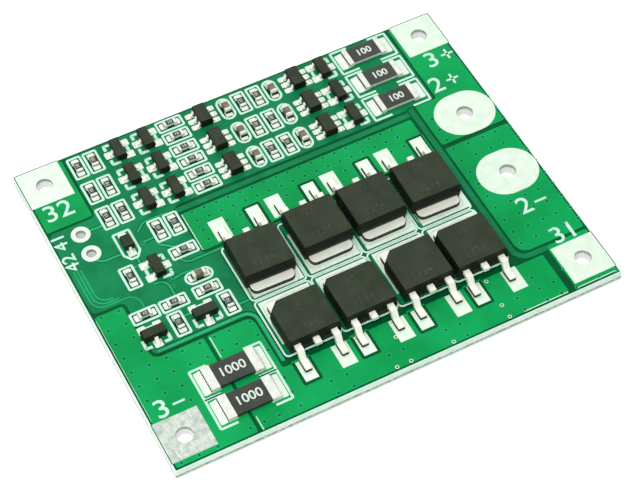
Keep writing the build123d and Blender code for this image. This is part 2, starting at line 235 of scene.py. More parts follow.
def let_through(tree, shader):
    """Clear from beneath, and for a ray from a face that touches the sheet."""
    behind = tree.nodes.new("ShaderNodeNewGeometry").outputs["Backfacing"]
    length = tree.nodes.new("ShaderNodeLightPath").outputs["Ray Length"]
    close = worked_out(tree, "LESS_THAN", length, TOUCHING)
    clear = tree.nodes.new("ShaderNodeBsdfTransparent")
    mix = tree.nodes.new("ShaderNodeMixShader")
    tree.links.new(worked_out(tree, "MAXIMUM", behind, close), mix.inputs[0])
    tree.links.new(shader.outputs[0], mix.inputs[1])
    tree.links.new(clear.outputs[0], mix.inputs[2])
    tree.links.new(mix.outputs[0], tree.nodes["Material Output"].inputs["Surface"])


def floor_material():
    """White paper that the camera sees a little brighter than it is lit."""
    material = bpy.data.materials.new("studio_floor")
    material.use_nodes = True
    tree = material.node_tree
    shader = tree.nodes["Principled BSDF"]
    shader.inputs["Base Color"].default_value = FLOOR_TONE
    shader.inputs["Roughness"].default_value = FLOOR_ROUGHNESS
    shader.inputs["Specular IOR Level"].default_value = FLOOR_SHEEN
    shader.inputs["Emission Color"].default_value = WHITE
    glow = worked_out(tree, "MULTIPLY", seen_directly(tree), FLOOR_GLOW)
    tree.links.new(glow, shader.inputs["Emission Strength"])
    let_through(tree, shader)
    return material


def make_floor():
    """A wide plain sheet under the board."""
    mesh = bpy.data.meshes.new("floor")
    half = FLOOR_SIDE / 2
    corners = [(x * half, y * half, -FLOOR_DROP) for x, y in CORNER_SIGNS]
    mesh.from_pydata(corners, [], [(0, 1, 2, 3)])
    mesh.materials.append(floor_material())
    floor = bpy.data.objects.new("floor", mesh)
    bpy.context.scene.collection.objects.link(floor)


make_floor()
print("floor, mm:", round(FLOOR_SIDE / MM))

# %% [markdown]
# ## Effects that several finishes share
#
# Real surfaces are never one flat colour. Three effects cover this board: a slow drift of
# tone, a fine grain that scatters light, and hairline marks from handling. Each is a node
# group, so that solder mask, tin and epoxy use the same effect with their own values. The
# groups read Object coordinates in metres, so their scales are counts per metre.

# %% A helper for shader groups
def shader_group(name, inputs, outputs):
    """An empty shader group with named sockets, and its two end nodes."""
    group = bpy.data.node_groups.new(name, "ShaderNodeTree")
    for label, kind, value in inputs:
        socket = group.interface.new_socket(label, in_out="INPUT", socket_type=kind)
        if value is not None:
            socket.default_value = value
    for label, kind in outputs:
        group.interface.new_socket(label, in_out="OUTPUT", socket_type=kind)
    return group, group.nodes.new("NodeGroupInput"), group.nodes.new("NodeGroupOutput")


def add_noise(tree, vector, scale, detail):
    """A noise texture fed by a vector and a scale socket."""
    noise = tree.nodes.new("ShaderNodeTexNoise")
    noise.inputs["Detail"].default_value = detail
    tree.links.new(vector, noise.inputs["Vector"])
    tree.links.new(scale, noise.inputs["Scale"])
    return noise.outputs["Fac"]


def add_ramp(tree, value, low, high, to_low=0.0, to_high=1.0):
    """A value stretched from one range to another, held at its ends."""
    ramp = tree.nodes.new("ShaderNodeMapRange")
    tree.links.new(value, ramp.inputs["Value"])
    limits = {"From Min": low, "From Max": high, "To Min": to_low, "To Max": to_high}
    for label, given in limits.items():
        feed(tree, given, ramp.inputs[label])
    return ramp.outputs["Result"]


def mixed(tree, mask, first, second):
    """The first colour, and the second where the mask is one."""
    mix = tree.nodes.new("ShaderNodeMix")
    mix.data_type = "RGBA"
    for label, given in (("Factor", mask), ("A", first), ("B", second)):
        feed(tree, given, mix.inputs[label])
    return mix.outputs["Result"]


# %% Drift, grain and handling marks
CLOUD_DETAIL = 3.0
CLOUD_LIMITS = (0.36, 0.64)
GRAIN_DETAIL = 4.0
GRAIN_LIMITS = (0.3, 0.7)
THREAD_DETAIL = 1.0
THREAD_EDGE = 0.05
THREAD_TURNS = ((0.6, 0.06), (-0.9, 0.09))


def make_tone_drift():
    """Two colours that run into each other in soft clouds."""
    group, start, end = shader_group(
        "tone_drift",
        [("Vector", "NodeSocketVector", None), ("Scale", "NodeSocketFloat", 100.0),
         ("Light", "NodeSocketColor", None), ("Dark", "NodeSocketColor", None)],
        [("Color", "NodeSocketColor")],
    )
    cloud = add_noise(group, start.outputs["Vector"], start.outputs["Scale"], CLOUD_DETAIL)
    mask = add_ramp(group, cloud, *CLOUD_LIMITS)
    colour = mixed(group, mask, start.outputs["Light"], start.outputs["Dark"])
    group.links.new(colour, end.inputs["Color"])
    return group


def make_fine_grain():
    """A fine grain, as a height and as a roughness between two limits."""
    group, start, end = shader_group(
        "fine_grain",
        [("Vector", "NodeSocketVector", None), ("Scale", "NodeSocketFloat", 4000.0),
         ("Smooth", "NodeSocketFloat", 0.3), ("Rough", "NodeSocketFloat", 0.5)],
        [("Height", "NodeSocketFloat"), ("Roughness", "NodeSocketFloat")],
    )
    grain = add_noise(group, start.outputs["Vector"], start.outputs["Scale"], GRAIN_DETAIL)
    rough = add_ramp(group, grain, *GRAIN_LIMITS, start.outputs["Smooth"], start.outputs["Rough"])
    group.links.new(grain, end.inputs["Height"])
    group.links.new(rough, end.inputs["Roughness"])
    return group


def make_handling_marks():
    """Hairlines in two directions, from noise that is stretched until it is thread-like."""
    group, start, end = shader_group(
        "handling_marks",
        [("Vector", "NodeSocketVector", None), ("Scale", "NodeSocketFloat", 2500.0),
         ("Start", "NodeSocketFloat", 0.64)],
        [("Mask", "NodeSocketFloat")],
    )
    threads = []
    for turn, squeeze in THREAD_TURNS:
        mapping = group.nodes.new("ShaderNodeMapping")
        mapping.inputs["Rotation"].default_value = (0.0, 0.0, turn)
        mapping.inputs["Scale"].default_value = (1.0, squeeze, 1.0)
        group.links.new(start.outputs["Vector"], mapping.inputs["Vector"])
        thread = add_noise(group, mapping.outputs["Vector"], start.outputs["Scale"], THREAD_DETAIL)
        full = worked_out(group, "ADD", start.outputs["Start"], THREAD_EDGE)
        threads.append(add_ramp(group, thread, start.outputs["Start"], full))
    group.links.new(worked_out(group, "MAXIMUM", *threads), end.inputs["Mask"])
    return group


TONE_DRIFT = make_tone_drift()
FINE_GRAIN = make_fine_grain()
HANDLING_MARKS = make_handling_marks()
print("shader groups:", [group.name for group in bpy.data.node_groups])

# %% [markdown]
# ## Finishes
#
# Every finish is a Principled shader. Its colour drifts between two close tones, its
# roughness comes from the grain, and a small bump lets edges of light break up. Hairlines
# darken or brighten what hands and tools have touched. One function wires them all, and each
# call then reads like a row of a paint card.

# %% A function that makes a finish
MARK_GRAIN_MM = 0.12


def place_group(tree, group, vector, **values):
    """A shader group placed in a material, with its own values."""
    node = tree.nodes.new("ShaderNodeGroup")
    node.node_tree = group
    tree.links.new(vector, node.inputs["Vector"])
    for label, value in values.items():
        node.inputs[label].default_value = value
    return node


def rgba(colour):
    """A colour with full cover."""
    return (*colour, 1.0)


def make_finish(name, light, dark, rough, metal=0.0, specular=0.5, drift_mm=6.0, grain_mm=0.25,
                bump_mm=0.002, marks=None, mark_colour=None):
    """A surface of two close tones, with grain, and with hairlines where marks says."""
    material = bpy.data.materials.new(name)
    material.use_nodes = True
    tree = material.node_tree
    shader = tree.nodes["Principled BSDF"]
    shader.inputs["Metallic"].default_value = metal
    shader.inputs["Specular IOR Level"].default_value = specular
    vector = tree.nodes.new("ShaderNodeTexCoord").outputs["Object"]
    drift = place_group(
        tree, TONE_DRIFT, vector, Scale=1 / (drift_mm * MM), Light=rgba(light), Dark=rgba(dark))
    grain = place_group(
        tree, FINE_GRAIN, vector, Scale=1 / (grain_mm * MM), Smooth=rough[0], Rough=rough[1])
    colour = drift.outputs["Color"]
    if marks:
        scratch = place_group(
            tree, HANDLING_MARKS, vector, Scale=1 / (MARK_GRAIN_MM * MM), Start=marks)
        colour = mixed(tree, scratch.outputs["Mask"], colour, rgba(mark_colour))
    bump = tree.nodes.new("ShaderNodeBump")
    bump.inputs["Distance"].default_value = bump_mm * MM
    tree.links.new(grain.outputs["Height"], bump.inputs["Height"])
    tree.links.new(colour, shader.inputs["Base Color"])
    tree.links.new(grain.outputs["Roughness"], shader.inputs["Roughness"])
    tree.links.new(bump.outputs["Normal"], shader.inputs["Normal"])
    return material


# %% [markdown]
# ### The paint card
#
# Solder mask shows what lies under it: bright green over the wide pours, deeper green over
# the copper round the small parts, and very dark over bare laminate. Tin is cold on the
# lands, warm on the leads and worn on one land. Several rows paint light or shade: painted
# light low in the holes, and painted shade at their mouths, round the chips, on the sides of
# moulded bodies, on cut copper, in the via discs and in fine lines; the via lips take a
# painted highlight. Two close colours and two limits of roughness are all that a row must
# name. Sizes of cloud, grain and bump have usual values.

# %% Mix the finishes
MASK_ON_POUR = make_finish(
    "mask_on_pour", (0.004, 0.415, 0.108), (0.002, 0.33, 0.078), (0.22, 0.36), specular=0.05,
    grain_mm=0.6)
MASK_ON_SHEET = make_finish(
    "mask_on_sheet", (0.007, 0.265, 0.094), (0.004, 0.205, 0.07), (0.22, 0.36), specular=0.05,
    drift_mm=3.0, grain_mm=0.6)
# Lacquer over a trace; on the via lips the same lighter green is a painted highlight.
MASK_ON_TRACE_AND_HIGHLIGHT = make_finish(
    "mask_on_trace_and_highlight", (0.02, 0.46, 0.19), (0.01, 0.38, 0.14), (0.22, 0.36), specular=0.1,
    grain_mm=0.6)
# Lacquer over bare laminate; as a thin strip on the corner lands it is painted shade.
MASK_ON_LAMINATE_AND_SHADE = make_finish(
    "mask_on_laminate_and_shade", (0.0, 0.115, 0.035), (0.0, 0.085, 0.025), (0.25, 0.4), specular=0.05,
    grain_mm=0.6)
# Lacquer on cleared copper under the chips, darkened further as painted shade.
MASK_UNDER_CHIP_AND_SHADE = make_finish(
    "mask_under_chip_and_shade", (0.003, 0.062, 0.026), (0.001, 0.045, 0.018), (0.25, 0.4), specular=0.05)
# Painted shade: the dark of a via's dimple or hole, as a flat disc.
VIA_PAINTED_SHADE = make_finish(
    "via_disc_painted_shade", (0.0, 0.19, 0.055), (0.0, 0.14, 0.04), (0.25, 0.4), specular=0.05,
    grain_mm=0.6)
BARE_LAMINATE = make_finish(
    "bare_laminate", (0.84, 1.0, 0.90), (0.70, 0.95, 0.79), (0.5, 0.75), drift_mm=1.5, bump_mm=0.01)
BROKEN_LAMINATE = make_finish(
    "broken_laminate", (0.62, 0.68, 0.60), (0.26, 0.31, 0.26), (0.7, 0.9), drift_mm=0.5,
    grain_mm=0.12, bump_mm=0.06)
TINNED_LAND = make_finish(
    "tinned_land", (0.81, 0.96, 0.81), (0.74, 0.89, 0.74), (0.34, 0.5), metal=0.12, drift_mm=1.2,
    bump_mm=0.004, marks=0.7, mark_colour=(0.70, 0.78, 0.70))
# Worn tin on one land; as a low ring round the tabs it is painted shade.
WORN_LAND_AND_SHADE = make_finish(
    "worn_land_and_shade", (0.66, 0.74, 0.66), (0.45, 0.52, 0.45), (0.34, 0.55), metal=0.12, drift_mm=0.7,
    bump_mm=0.012, marks=0.66, mark_colour=(0.86, 0.90, 0.86))
# Painted light: a sleeve whiter than the lands' tin, as if lit from beneath.
SLEEVE_PAINTED_LIGHT = make_finish(
    "sleeve", (1.0, 1.0, 1.0), (0.92, 0.96, 0.92), (0.25, 0.4), metal=0.1, drift_mm=1.2)
# Painted shade at the mouth of each sleeve.
SLEEVE_MOUTH_SHADE = make_finish(
    "sleeve_mouth_painted_shade", (0.42, 0.48, 0.42), (0.30, 0.35, 0.30), (0.25, 0.4), metal=0.1, drift_mm=0.8)
TINNED_LEAD = make_finish(
    "tinned_lead", (0.97, 1.0, 0.88), (0.89, 0.93, 0.80), (0.32, 0.48), metal=0.12, drift_mm=1.2,
    bump_mm=0.003)
# Cut copper, darkened further as painted shade on a leadframe's punched faces.
CUT_COPPER_AND_SHADE = make_finish(
    "cut_copper_and_shade", (0.07, 0.058, 0.036), (0.025, 0.02, 0.014), (0.35, 0.55), metal=0.1, drift_mm=0.8,
    bump_mm=0.01)
CHIP_TERMINAL = make_finish(
    "chip_terminal", (0.84, 0.88, 0.80), (0.72, 0.76, 0.68), (0.32, 0.5), metal=0.12, drift_mm=0.6,
    bump_mm=0.004)
SOLDER = make_finish(
    "solder", (0.97, 1.0, 0.93), (0.84, 0.88, 0.80), (0.2, 0.34), metal=0.16, drift_mm=0.6)
MOULDED_EPOXY = make_finish(
    "moulded_epoxy", (0.030, 0.041, 0.023), (0.019, 0.028, 0.013), (0.42, 0.6), specular=0.2,
    drift_mm=2.2, grain_mm=0.12, bump_mm=0.01)
# Painted shade on the sides of the moulded bodies.
MOULD_SIDE_SHADE = make_finish(
    "mould_side_painted_shade", (0.012, 0.015, 0.009), (0.006, 0.008, 0.005), (0.4, 0.55), specular=0.12,
    drift_mm=2.0, grain_mm=0.12)
RESISTOR_GLAZE = make_finish(
    "resistor_glaze", (0.031, 0.040, 0.030), (0.020, 0.026, 0.019), (0.25, 0.4), specular=0.3,
    drift_mm=1.5, grain_mm=0.2)
ALUMINA = make_finish(
    "alumina", (0.72, 0.74, 0.68), (0.58, 0.60, 0.54), (0.5, 0.7), specular=0.3, drift_mm=0.6,
    grain_mm=0.1)
CAPACITOR_CERAMIC = make_finish(
    "capacitor_ceramic", (0.21, 0.16, 0.085), (0.10, 0.08, 0.04), (0.3, 0.5), drift_mm=0.6,
    grain_mm=0.1)
PRINT_INK = make_finish(
    "print_ink", (0.70, 1.0, 0.85), (0.60, 0.93, 0.76), (0.45, 0.65), specular=0.2, drift_mm=1.0,
    grain_mm=0.15, bump_mm=0.003)
MARK_INK = make_finish(
    "mark_ink", (0.86, 0.95, 0.86), (0.70, 0.80, 0.70), (0.45, 0.65), specular=0.2, drift_mm=0.3,
    grain_mm=0.1, bump_mm=0.003)
FAINT_MARK = make_finish(
    "faint_mark", (0.085, 0.10, 0.075), (0.035, 0.045, 0.028), (0.5, 0.7), specular=0.15, drift_mm=0.4,
    grain_mm=0.1)
# Painted shade in fine lines at the feet, and a painted dark reflection in the skirts.
PAINTED_SHADE_AND_REFLECTION = make_finish(
    "painted_shade_and_reflection", (0.035, 0.03, 0.02), (0.01, 0.01, 0.008), (0.2, 0.4), specular=0.2, drift_mm=0.8)
print("finishes:", len(bpy.data.materials))

# %% [markdown]
# ## Reading places from the frame
#
# Many like parts share one CAD node, as separate solids. Walking each solid through its
# faces gives its box, and from the boxes come the places for print, solder and marks. So
# nothing has to be measured twice, and a changed CAD part takes its marks along.

# %% Boxes of the separate solids in a node
WELD = 0.0005
WALL_LIMIT = 0.9
BASE_BAND = 0.01


def named(start, end):
    """The CAD nodes whose names start and end so."""
    return [name for name in nodes if name.startswith(start) and name.endswith(end)]


def merged(name):
    """The mesh of a CAD node as a bmesh, with its doubled corners merged."""
    shape = bmesh.new()
    shape.from_mesh(nodes[name].data)
    bmesh.ops.remove_doubles(shape, verts=shape.verts, dist=WELD * MM)
    return shape


def connected(items, neighbours):
    """Splits corners or faces into groups that hang together, in the order of the mesh."""
    left = set(items)
    groups = []
    for item in items:
        if item not in left:
            continue
        left.remove(item)
        group = [item]
        for member in group:
            for other in neighbours(member):
                if other in left:
                    left.remove(other)
                    group.append(other)
        groups.append(group)
    return groups


def solids(name):
    """The corners of each separate solid in a node, in millimetres."""
    shape = merged(name)
    groups = connected(shape.verts, lambda vert: [edge.other_vert(vert) for edge in vert.link_edges])
    found = [[vert.co / MM for vert in group] for group in groups]
    shape.free()
    return found


def box_of(corners):
    """The lowest and the highest corner of the box round some points."""
    low = Vector([min(corner[axis] for corner in corners) for axis in range(3)])
    high = Vector([max(corner[axis] for corner in corners) for axis in range(3)])
    return low, high


def islands(name):
    """The box of each separate solid in a node."""
    return [box_of(corners) for corners in solids(name)]


def middle(box):
    """The middle of a box."""
    return (box[0] + box[1]) / 2


def hole_of(name):
    """Middle and radius of the hole in a wire land: the smaller ring of its side faces."""
    shape = merged(name)
    walls = [face for face in shape.faces if abs(face.normal.z) < WALL_LIMIT]
    boxes = []
    for ring in connected(walls, lambda face: [near for vert in face.verts for near in vert.link_faces]):
        corners = [vert.co / MM for face in ring for vert in face.verts]
        base = min(corner.z for corner in corners)
        boxes.append(box_of([corner for corner in corners if corner.z < base + BASE_BAND]))
    shape.free()
    low, high = min(boxes, key=lambda box: box[1].x - box[0].x)
    return middle((low, high)).xy, (high.x - low.x) / 2


board_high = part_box("board")[1] / MM
TOP = board_high.z
HALF_X = board_high.x
HALF_Y = board_high.y
wire_lands = named("", "_land") + named("sense_land", "")
holes = {name: hole_of(name) for name in wire_lands}
print("board, mm:", round(2 * HALF_X, 2), round(2 * HALF_Y, 2), round(TOP, 2))
for name, (spot, radius) in holes.items():
    print(f"{name}: hole at {spot.x:.2f}, {spot.y:.2f}, radius {radius:.2f} mm")


# %% [markdown]
# ## Flat plates from outlines
#
# A circuit board is a stack of flat sheets: laminate, etched copper, a coat of lacquer. A
# filled 2D curve makes such a sheet. Its loops may have holes, and a small bevel rounds the
# lip where lacquer runs over an etched edge, which is what catches the light. Corners are
# rounded by a short arc, as etched copper never has a sharp corner. The curve is drawn in
# millimetres and scaled last, because the fill works badly on very small numbers.

# %% Outlines and plates
TURNS_PER_SIDE = 2.01
SHEET_WELD = 0.0002


def rounded(points, radius, steps=5):
    """The points of a closed outline, with an arc of the radius in place of each corner."""
    outline = []
    count = len(points)
    for index, point in enumerate(points):
        corner = Vector(point)
        back = Vector(points[index - 1]) - corner
        ahead = Vector(points[(index + 1) % count]) - corner
        reach = min(radius, back.length / TURNS_PER_SIDE, ahead.length / TURNS_PER_SIDE)
        start = corner + back.normalized() * reach
        stop = corner + ahead.normalized() * reach
        for step in range(steps + 1):
            share = step / steps
            outline.append(start * (1 - share) ** 2 + corner * 2 * share * (1 - share) + stop * share**2)
    return outline


def circle(centre, radius, count=40):
    """A round outline; it starts half a step off the axes, where the fill is sure."""
    angles = [2 * math.pi * (step + 0.5) / count for step in range(count)]
    middle_x, middle_y = centre
    return [Vector((middle_x + radius * math.cos(a), middle_y + radius * math.sin(a))) for a in angles]


def rectangle(low, high):
    """The corners of a rectangle."""
    return [(low[0], low[1]), (high[0], low[1]), (high[0], high[1]), (low[0], high[1])]


def to_mesh(thing):
    """The finished mesh of an object with its modifiers, and the object is gone."""
    depsgraph = bpy.context.evaluated_depsgraph_get()
    mesh = bpy.data.meshes.new_from_object(thing.evaluated_get(depsgraph))
    bpy.data.objects.remove(thing)
    return mesh


def plate_mesh(loops, low, high, lip=0.0):
    """A flat sheet between two heights, filled between its loops."""
    curve = bpy.data.curves.new("outline", "CURVE")
    curve.dimensions = "2D"
    curve.fill_mode = "BOTH"
    curve.extrude = (high - low) / 2 - lip
    curve.bevel_depth = lip
    curve.bevel_resolution = 1
    curve.offset = -lip
    for loop in loops:
        spline = curve.splines.new("POLY")
        spline.points.add(len(loop) - 1)
        for point, place in zip(spline.points, loop):
            point.co = (place[0], place[1], 0.0, 1.0)
        spline.use_cyclic_u = True
    thing = bpy.data.objects.new("outline", curve)
    bpy.context.scene.collection.objects.link(thing)
    mesh = to_mesh(thing)
    mesh.transform(Matrix.Scale(MM, 4) @ Matrix.Translation((0.0, 0.0, (low + high) / 2)))
    return mesh


def joined(meshes, material):
    """Several meshes as one, all in one material."""
    shape = bmesh.new()
    for mesh in meshes:
        shape.from_mesh(mesh)
        bpy.data.meshes.remove(mesh)
    bmesh.ops.remove_doubles(shape, verts=shape.verts, dist=SHEET_WELD * MM)
    for face in shape.faces:
        face.material_index = 0
        face.smooth = False
    result = bpy.data.meshes.new("joined")
    shape.to_mesh(result)
    shape.free()
    result.materials.clear()
    result.materials.append(material)
    return result


def finished(name, mesh, replaced=()):
    """A finished piece: on the board, and in place of its CAD nodes."""
    mesh.name = name
    piece = bpy.data.objects.new(name, mesh)
    bpy.context.scene.collection.objects.link(piece)
    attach(piece, "root")
    if replaced:
        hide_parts(*replaced)
    print(f"{name}: {len(mesh.polygons)} faces")


def finished_from(name, meshes, material, replaced=()):
    """A finished piece in one material, joined from several meshes."""
    finished(name, joined(meshes, material), replaced)


# %% [markdown]
# ## The laminate
#
# The core is glass cloth in resin, under dark green lacquer. It lies one copper thickness
# below the top of the pours, so the etched gaps are real steps. The board was scored along
# its edges and snapped from a panel: the two slopes are cut clean, the web between them is
# torn fibre. So the rim is a piece of its own, with one finish for each of the two.

# %% The core with its wire holes
COPPER_STEP = 0.07
UNDERSIDE_STEP = 0.04
SCORE_SETBACK = 0.08
SCORE_DEPTH = 0.78
UNDER_SCORE_DEPTH = 0.42
PLATING = 0.08


def drilled(margin):
    """A round loop for each wire hole, wider than the finished hole by a margin."""
    return [circle(spot, radius + margin) for spot, radius in holes.values()]


RIM_X = HALF_X - SCORE_SETBACK
RIM_Y = HALF_Y - SCORE_SETBACK
core_loops = [rectangle((-RIM_X, -RIM_Y), (RIM_X, RIM_Y))] + drilled(PLATING)
core = plate_mesh(core_loops, UNDERSIDE_STEP, TOP - COPPER_STEP)
finished_from("laminate_core", [core], MASK_ON_LAMINATE_AND_SHADE, ["board"])

# %% The snapped rim
TORN_SIDE = 1


def ring_faces(sections, count):
    """The faces of a closed ring made of like outlines, one after the other."""
    faces = []
    for section in range(sections):
        here = section * count
        ahead = (section + 1) % sections * count
        for step in range(count):
            after = (step + 1) % count
            faces.append((here + step, here + after, ahead + after, ahead + step))
    return faces


def rim_mesh():
    """A closed ring round the core: slope, torn web, slope, and the hidden inner side."""
    lip = TOP - COPPER_STEP / 2
    profile = (
        (SCORE_SETBACK, 0.0), (0.0, UNDER_SCORE_DEPTH), (0.0, TOP - SCORE_DEPTH),
        (SCORE_SETBACK, lip), (2 * SCORE_SETBACK, lip), (2 * SCORE_SETBACK, 0.0),
    )
    verts = []
    for side_x, side_y in CORNER_SIGNS:
        for inset, z in profile:
            verts.append((side_x * (HALF_X - inset) * MM, side_y * (HALF_Y - inset) * MM, z * MM))
    faces = [face[::-1] for face in ring_faces(len(CORNER_SIGNS), len(profile))]
    mesh = bpy.data.meshes.new("rim")
    mesh.from_pydata(verts, [], faces)
    mesh.materials.append(BARE_LAMINATE)
    mesh.materials.append(BROKEN_LAMINATE)
    for index, face in enumerate(mesh.polygons):
        if index % len(profile) == TORN_SIDE:
            face.material_index = 1
    return mesh


finished("snapped_rim", rim_mesh())

# %% [markdown]
# ## Copper under lacquer
#
# Wide pours carry the battery current, and they read as large bright green fields with dark
# gaps. Each is an outline of a few corners. The gate land of every power transistor stands
# alone in a pour, so its clearing is a hole in the outline, with an island in the hole.
# Heights overlap nowhere: a pour fills the step between the core and the board's top.

# %% Outlines of the pours
POUR_PULLBACK = 0.38
EDGE_X = HALF_X - POUR_PULLBACK
EDGE_Y = HALF_Y - POUR_PULLBACK
CORNER = 0.3
SHEET_CORNER = 0.8
LIP = 0.03

POURS = {
    "source_pour": [(-12.73, 8.3), (17.66, 8.3), (17.66, 2.36), (-12.73, 2.36)],
    "battery_plus_pour": [
        (19.07, 9.78), (22.05, 9.78), (22.05, EDGE_Y), (EDGE_X, EDGE_Y), (EDGE_X, 3.05), (19.07, 3.05),
    ],
    "output_minus_pour": [
        (19.07, 2.44), (EDGE_X, 2.44), (EDGE_X, -14.97), (20.3, -14.97), (19.45, -14.6), (19.07, -13.75),
    ],
    "lower_cell_pour": [(22.18, -15.37), (EDGE_X, -15.37), (EDGE_X, -EDGE_Y), (22.18, -EDGE_Y)],
    "shunt_pour": [
        (-17.5, -8.4), (-12.8, -8.4), (-12.15, -8.65), (-11.9, -9.3), (-11.9, -16.04),
        (17.2, -16.04), (17.5, -16.22), (21.28, -16.22), (21.28, -EDGE_Y), (-17.5, -EDGE_Y),
    ],
    "battery_minus_pour": [
        (-EDGE_X, -0.34), (-24.11, -0.34), (-24.11, -7.5), (-23.85, -8.15), (-23.2, -8.4), (-17.9, -8.4),
        (-17.9, -EDGE_Y), (-EDGE_X, -EDGE_Y),
    ],
    "upper_cell_pour": [(-EDGE_X, 12.93), (-21.93, 12.93), (-21.93, EDGE_Y), (-EDGE_X, EDGE_Y)],
}
CONTROL_SHEET = [
    (-21.63, EDGE_Y), (21.75, EDGE_Y), (21.75, 10.1), (18.9, 10.1), (18.6, 9.74), (-13.03, 9.74),
    (-13.03, 2.06), (17.66, 2.06), (17.66, -15.64), (-11.5, -15.64), (-11.5, -7.99),
    (-23.71, -7.99), (-23.71, 0.06), (-EDGE_X, 0.06), (-EDGE_X, 12.63), (-21.63, 12.63),
]
print("pours:", list(POURS))

# %% Pours with islands
GATE_CLEARING = 0.35
CLEARING_CORNER = 0.3
GATE_TOLERANCE = 1.05


def gate_lands():
    """The boxes of the gate lands, the narrowest lands under the power transistors."""
    boxes = islands("mosfet_solder_lands")
    narrowest = min(high.x - low.x for low, high in boxes)
    return [(low, high) for low, high in boxes if high.x - low.x < narrowest * GATE_TOLERANCE]


def inside(point, outline):
    """True if a point lies inside an outline."""
    crossings = 0
    for index, corner in enumerate(outline):
        before = outline[index - 1]
        if (corner[1] > point.y) != (before[1] > point.y):
            share = (point.y - before[1]) / (corner[1] - before[1])
            crossings += before[0] + share * (corner[0] - before[0]) > point.x
    return crossings % 2 == 1


def pour_plate(outline, corner):
    """A pour with its clearings and wire holes, and the islands in the clearings."""
    loops = [rounded(outline, corner)]
    meshes = []
    room = Vector((GATE_CLEARING, GATE_CLEARING, 0.0))
    for low, high in gates:
        if inside(middle((low, high)), outline):
            loops.append(rounded(rectangle(low - room, high + room), CLEARING_CORNER))
            meshes.append(plate_mesh([rectangle(low, high)], TOP - COPPER_STEP, TOP))
    for spot, radius in holes.values():
        if inside(spot, outline):
            loops.append(circle(spot, radius + PLATING))
    return meshes + [plate_mesh(loops, TOP - COPPER_STEP, TOP, LIP)]


gates = gate_lands()
pour_meshes = [mesh for outline in POURS.values() for mesh in pour_plate(outline, CORNER)]
sheet_meshes = pour_plate(CONTROL_SHEET, SHEET_CORNER)
finished_from("copper_pours", pour_meshes, MASK_ON_POUR)
finished_from("control_copper", sheet_meshes, MASK_ON_SHEET)
print("gate lands:", len(gates))

# %% [markdown]
# ## Printed lines by Geometry Nodes
#
# Traces, print outlines and corner marks are all the same thing: a narrow flat strip that
# follows a path with rounded turns. One node tree does them all. It turns edges into curves,
# rounds the corners, sweeps a small rectangle along and sets the finish. Width, height and
# radius are inputs, so each set of lines is one call.

# %% The tree for lines
TURN_POINTS = 4


def geometry_tree(name, inputs):
    """An empty geometry tree with named inputs, and its two end nodes."""
    tree = bpy.data.node_groups.new(name, "GeometryNodeTree")
    tree.interface.new_socket("Geometry", in_out="INPUT", socket_type="NodeSocketGeometry")
    for label, kind in inputs:
        tree.interface.new_socket(label, in_out="INPUT", socket_type=kind)
    tree.interface.new_socket("Geometry", in_out="OUTPUT", socket_type="NodeSocketGeometry")
    return tree, tree.nodes.new("NodeGroupInput"), tree.nodes.new("NodeGroupOutput")


def end_tree(tree, start, end, shape):
    """Makes the instances real, sets the finish and closes the tree."""
    real = tree.nodes.new("GeometryNodeRealizeInstances")
    paint = tree.nodes.new("GeometryNodeSetMaterial")
    tree.links.new(shape, real.inputs["Geometry"])
    tree.links.new(real.outputs["Geometry"], paint.inputs["Geometry"])
    tree.links.new(start.outputs["Material"], paint.inputs["Material"])
    tree.links.new(paint.outputs["Geometry"], end.inputs["Geometry"])


def make_line_tree():
    """Edges become strips of one width and height, with rounded turns."""
    tree, start, end = geometry_tree(
        "flat_lines",
        [("Width", "NodeSocketFloat"), ("Height", "NodeSocketFloat"), ("Radius", "NodeSocketFloat"),
         ("Material", "NodeSocketMaterial")],
    )
    to_curve = tree.nodes.new("GeometryNodeMeshToCurve")
    turn = tree.nodes.new("GeometryNodeFilletCurve")
    turn.mode = "POLY"
    turn.inputs["Count"].default_value = TURN_POINTS
    turn.inputs["Limit Radius"].default_value = True
    upright = tree.nodes.new("GeometryNodeSetCurveNormal")
    upright.mode = "Z_UP"
    section = tree.nodes.new("GeometryNodeCurvePrimitiveQuadrilateral")
    sweep = tree.nodes.new("GeometryNodeCurveToMesh")
    sweep.inputs["Fill Caps"].default_value = True
    tree.links.new(start.outputs["Geometry"], to_curve.inputs[0])
    tree.links.new(to_curve.outputs[0], turn.inputs["Curve"])
    tree.links.new(start.outputs["Radius"], turn.inputs["Radius"])
    tree.links.new(turn.outputs[0], upright.inputs["Curve"])
    tree.links.new(start.outputs["Width"], section.inputs["Width"])
    tree.links.new(start.outputs["Height"], section.inputs["Height"])
    tree.links.new(upright.outputs[0], sweep.inputs["Curve"])
    tree.links.new(section.outputs[0], sweep.inputs["Profile Curve"])
    end_tree(tree, start, end, sweep.outputs[0])
    return tree


LINE_TREE = make_line_tree()
print("sockets for lines:", [item.name for item in LINE_TREE.interface.items_tree])

# %% Paths in, strips out
MEETING = 1e-6


def run_tree(mesh, tree, **values):
    """The mesh that a geometry tree makes from a start mesh and its named inputs."""
    thing = bpy.data.objects.new("tree_run", mesh)
    bpy.context.scene.collection.objects.link(thing)
    modifier = thing.modifiers.new("tree_run", "NODES")
    modifier.node_group = tree
    for item in tree.interface.items_tree:
        if item.in_out == "INPUT" and item.name in values:
            modifier[item.identifier] = values[item.name]
    result = to_mesh(thing)
    bpy.data.meshes.remove(mesh)
    return result


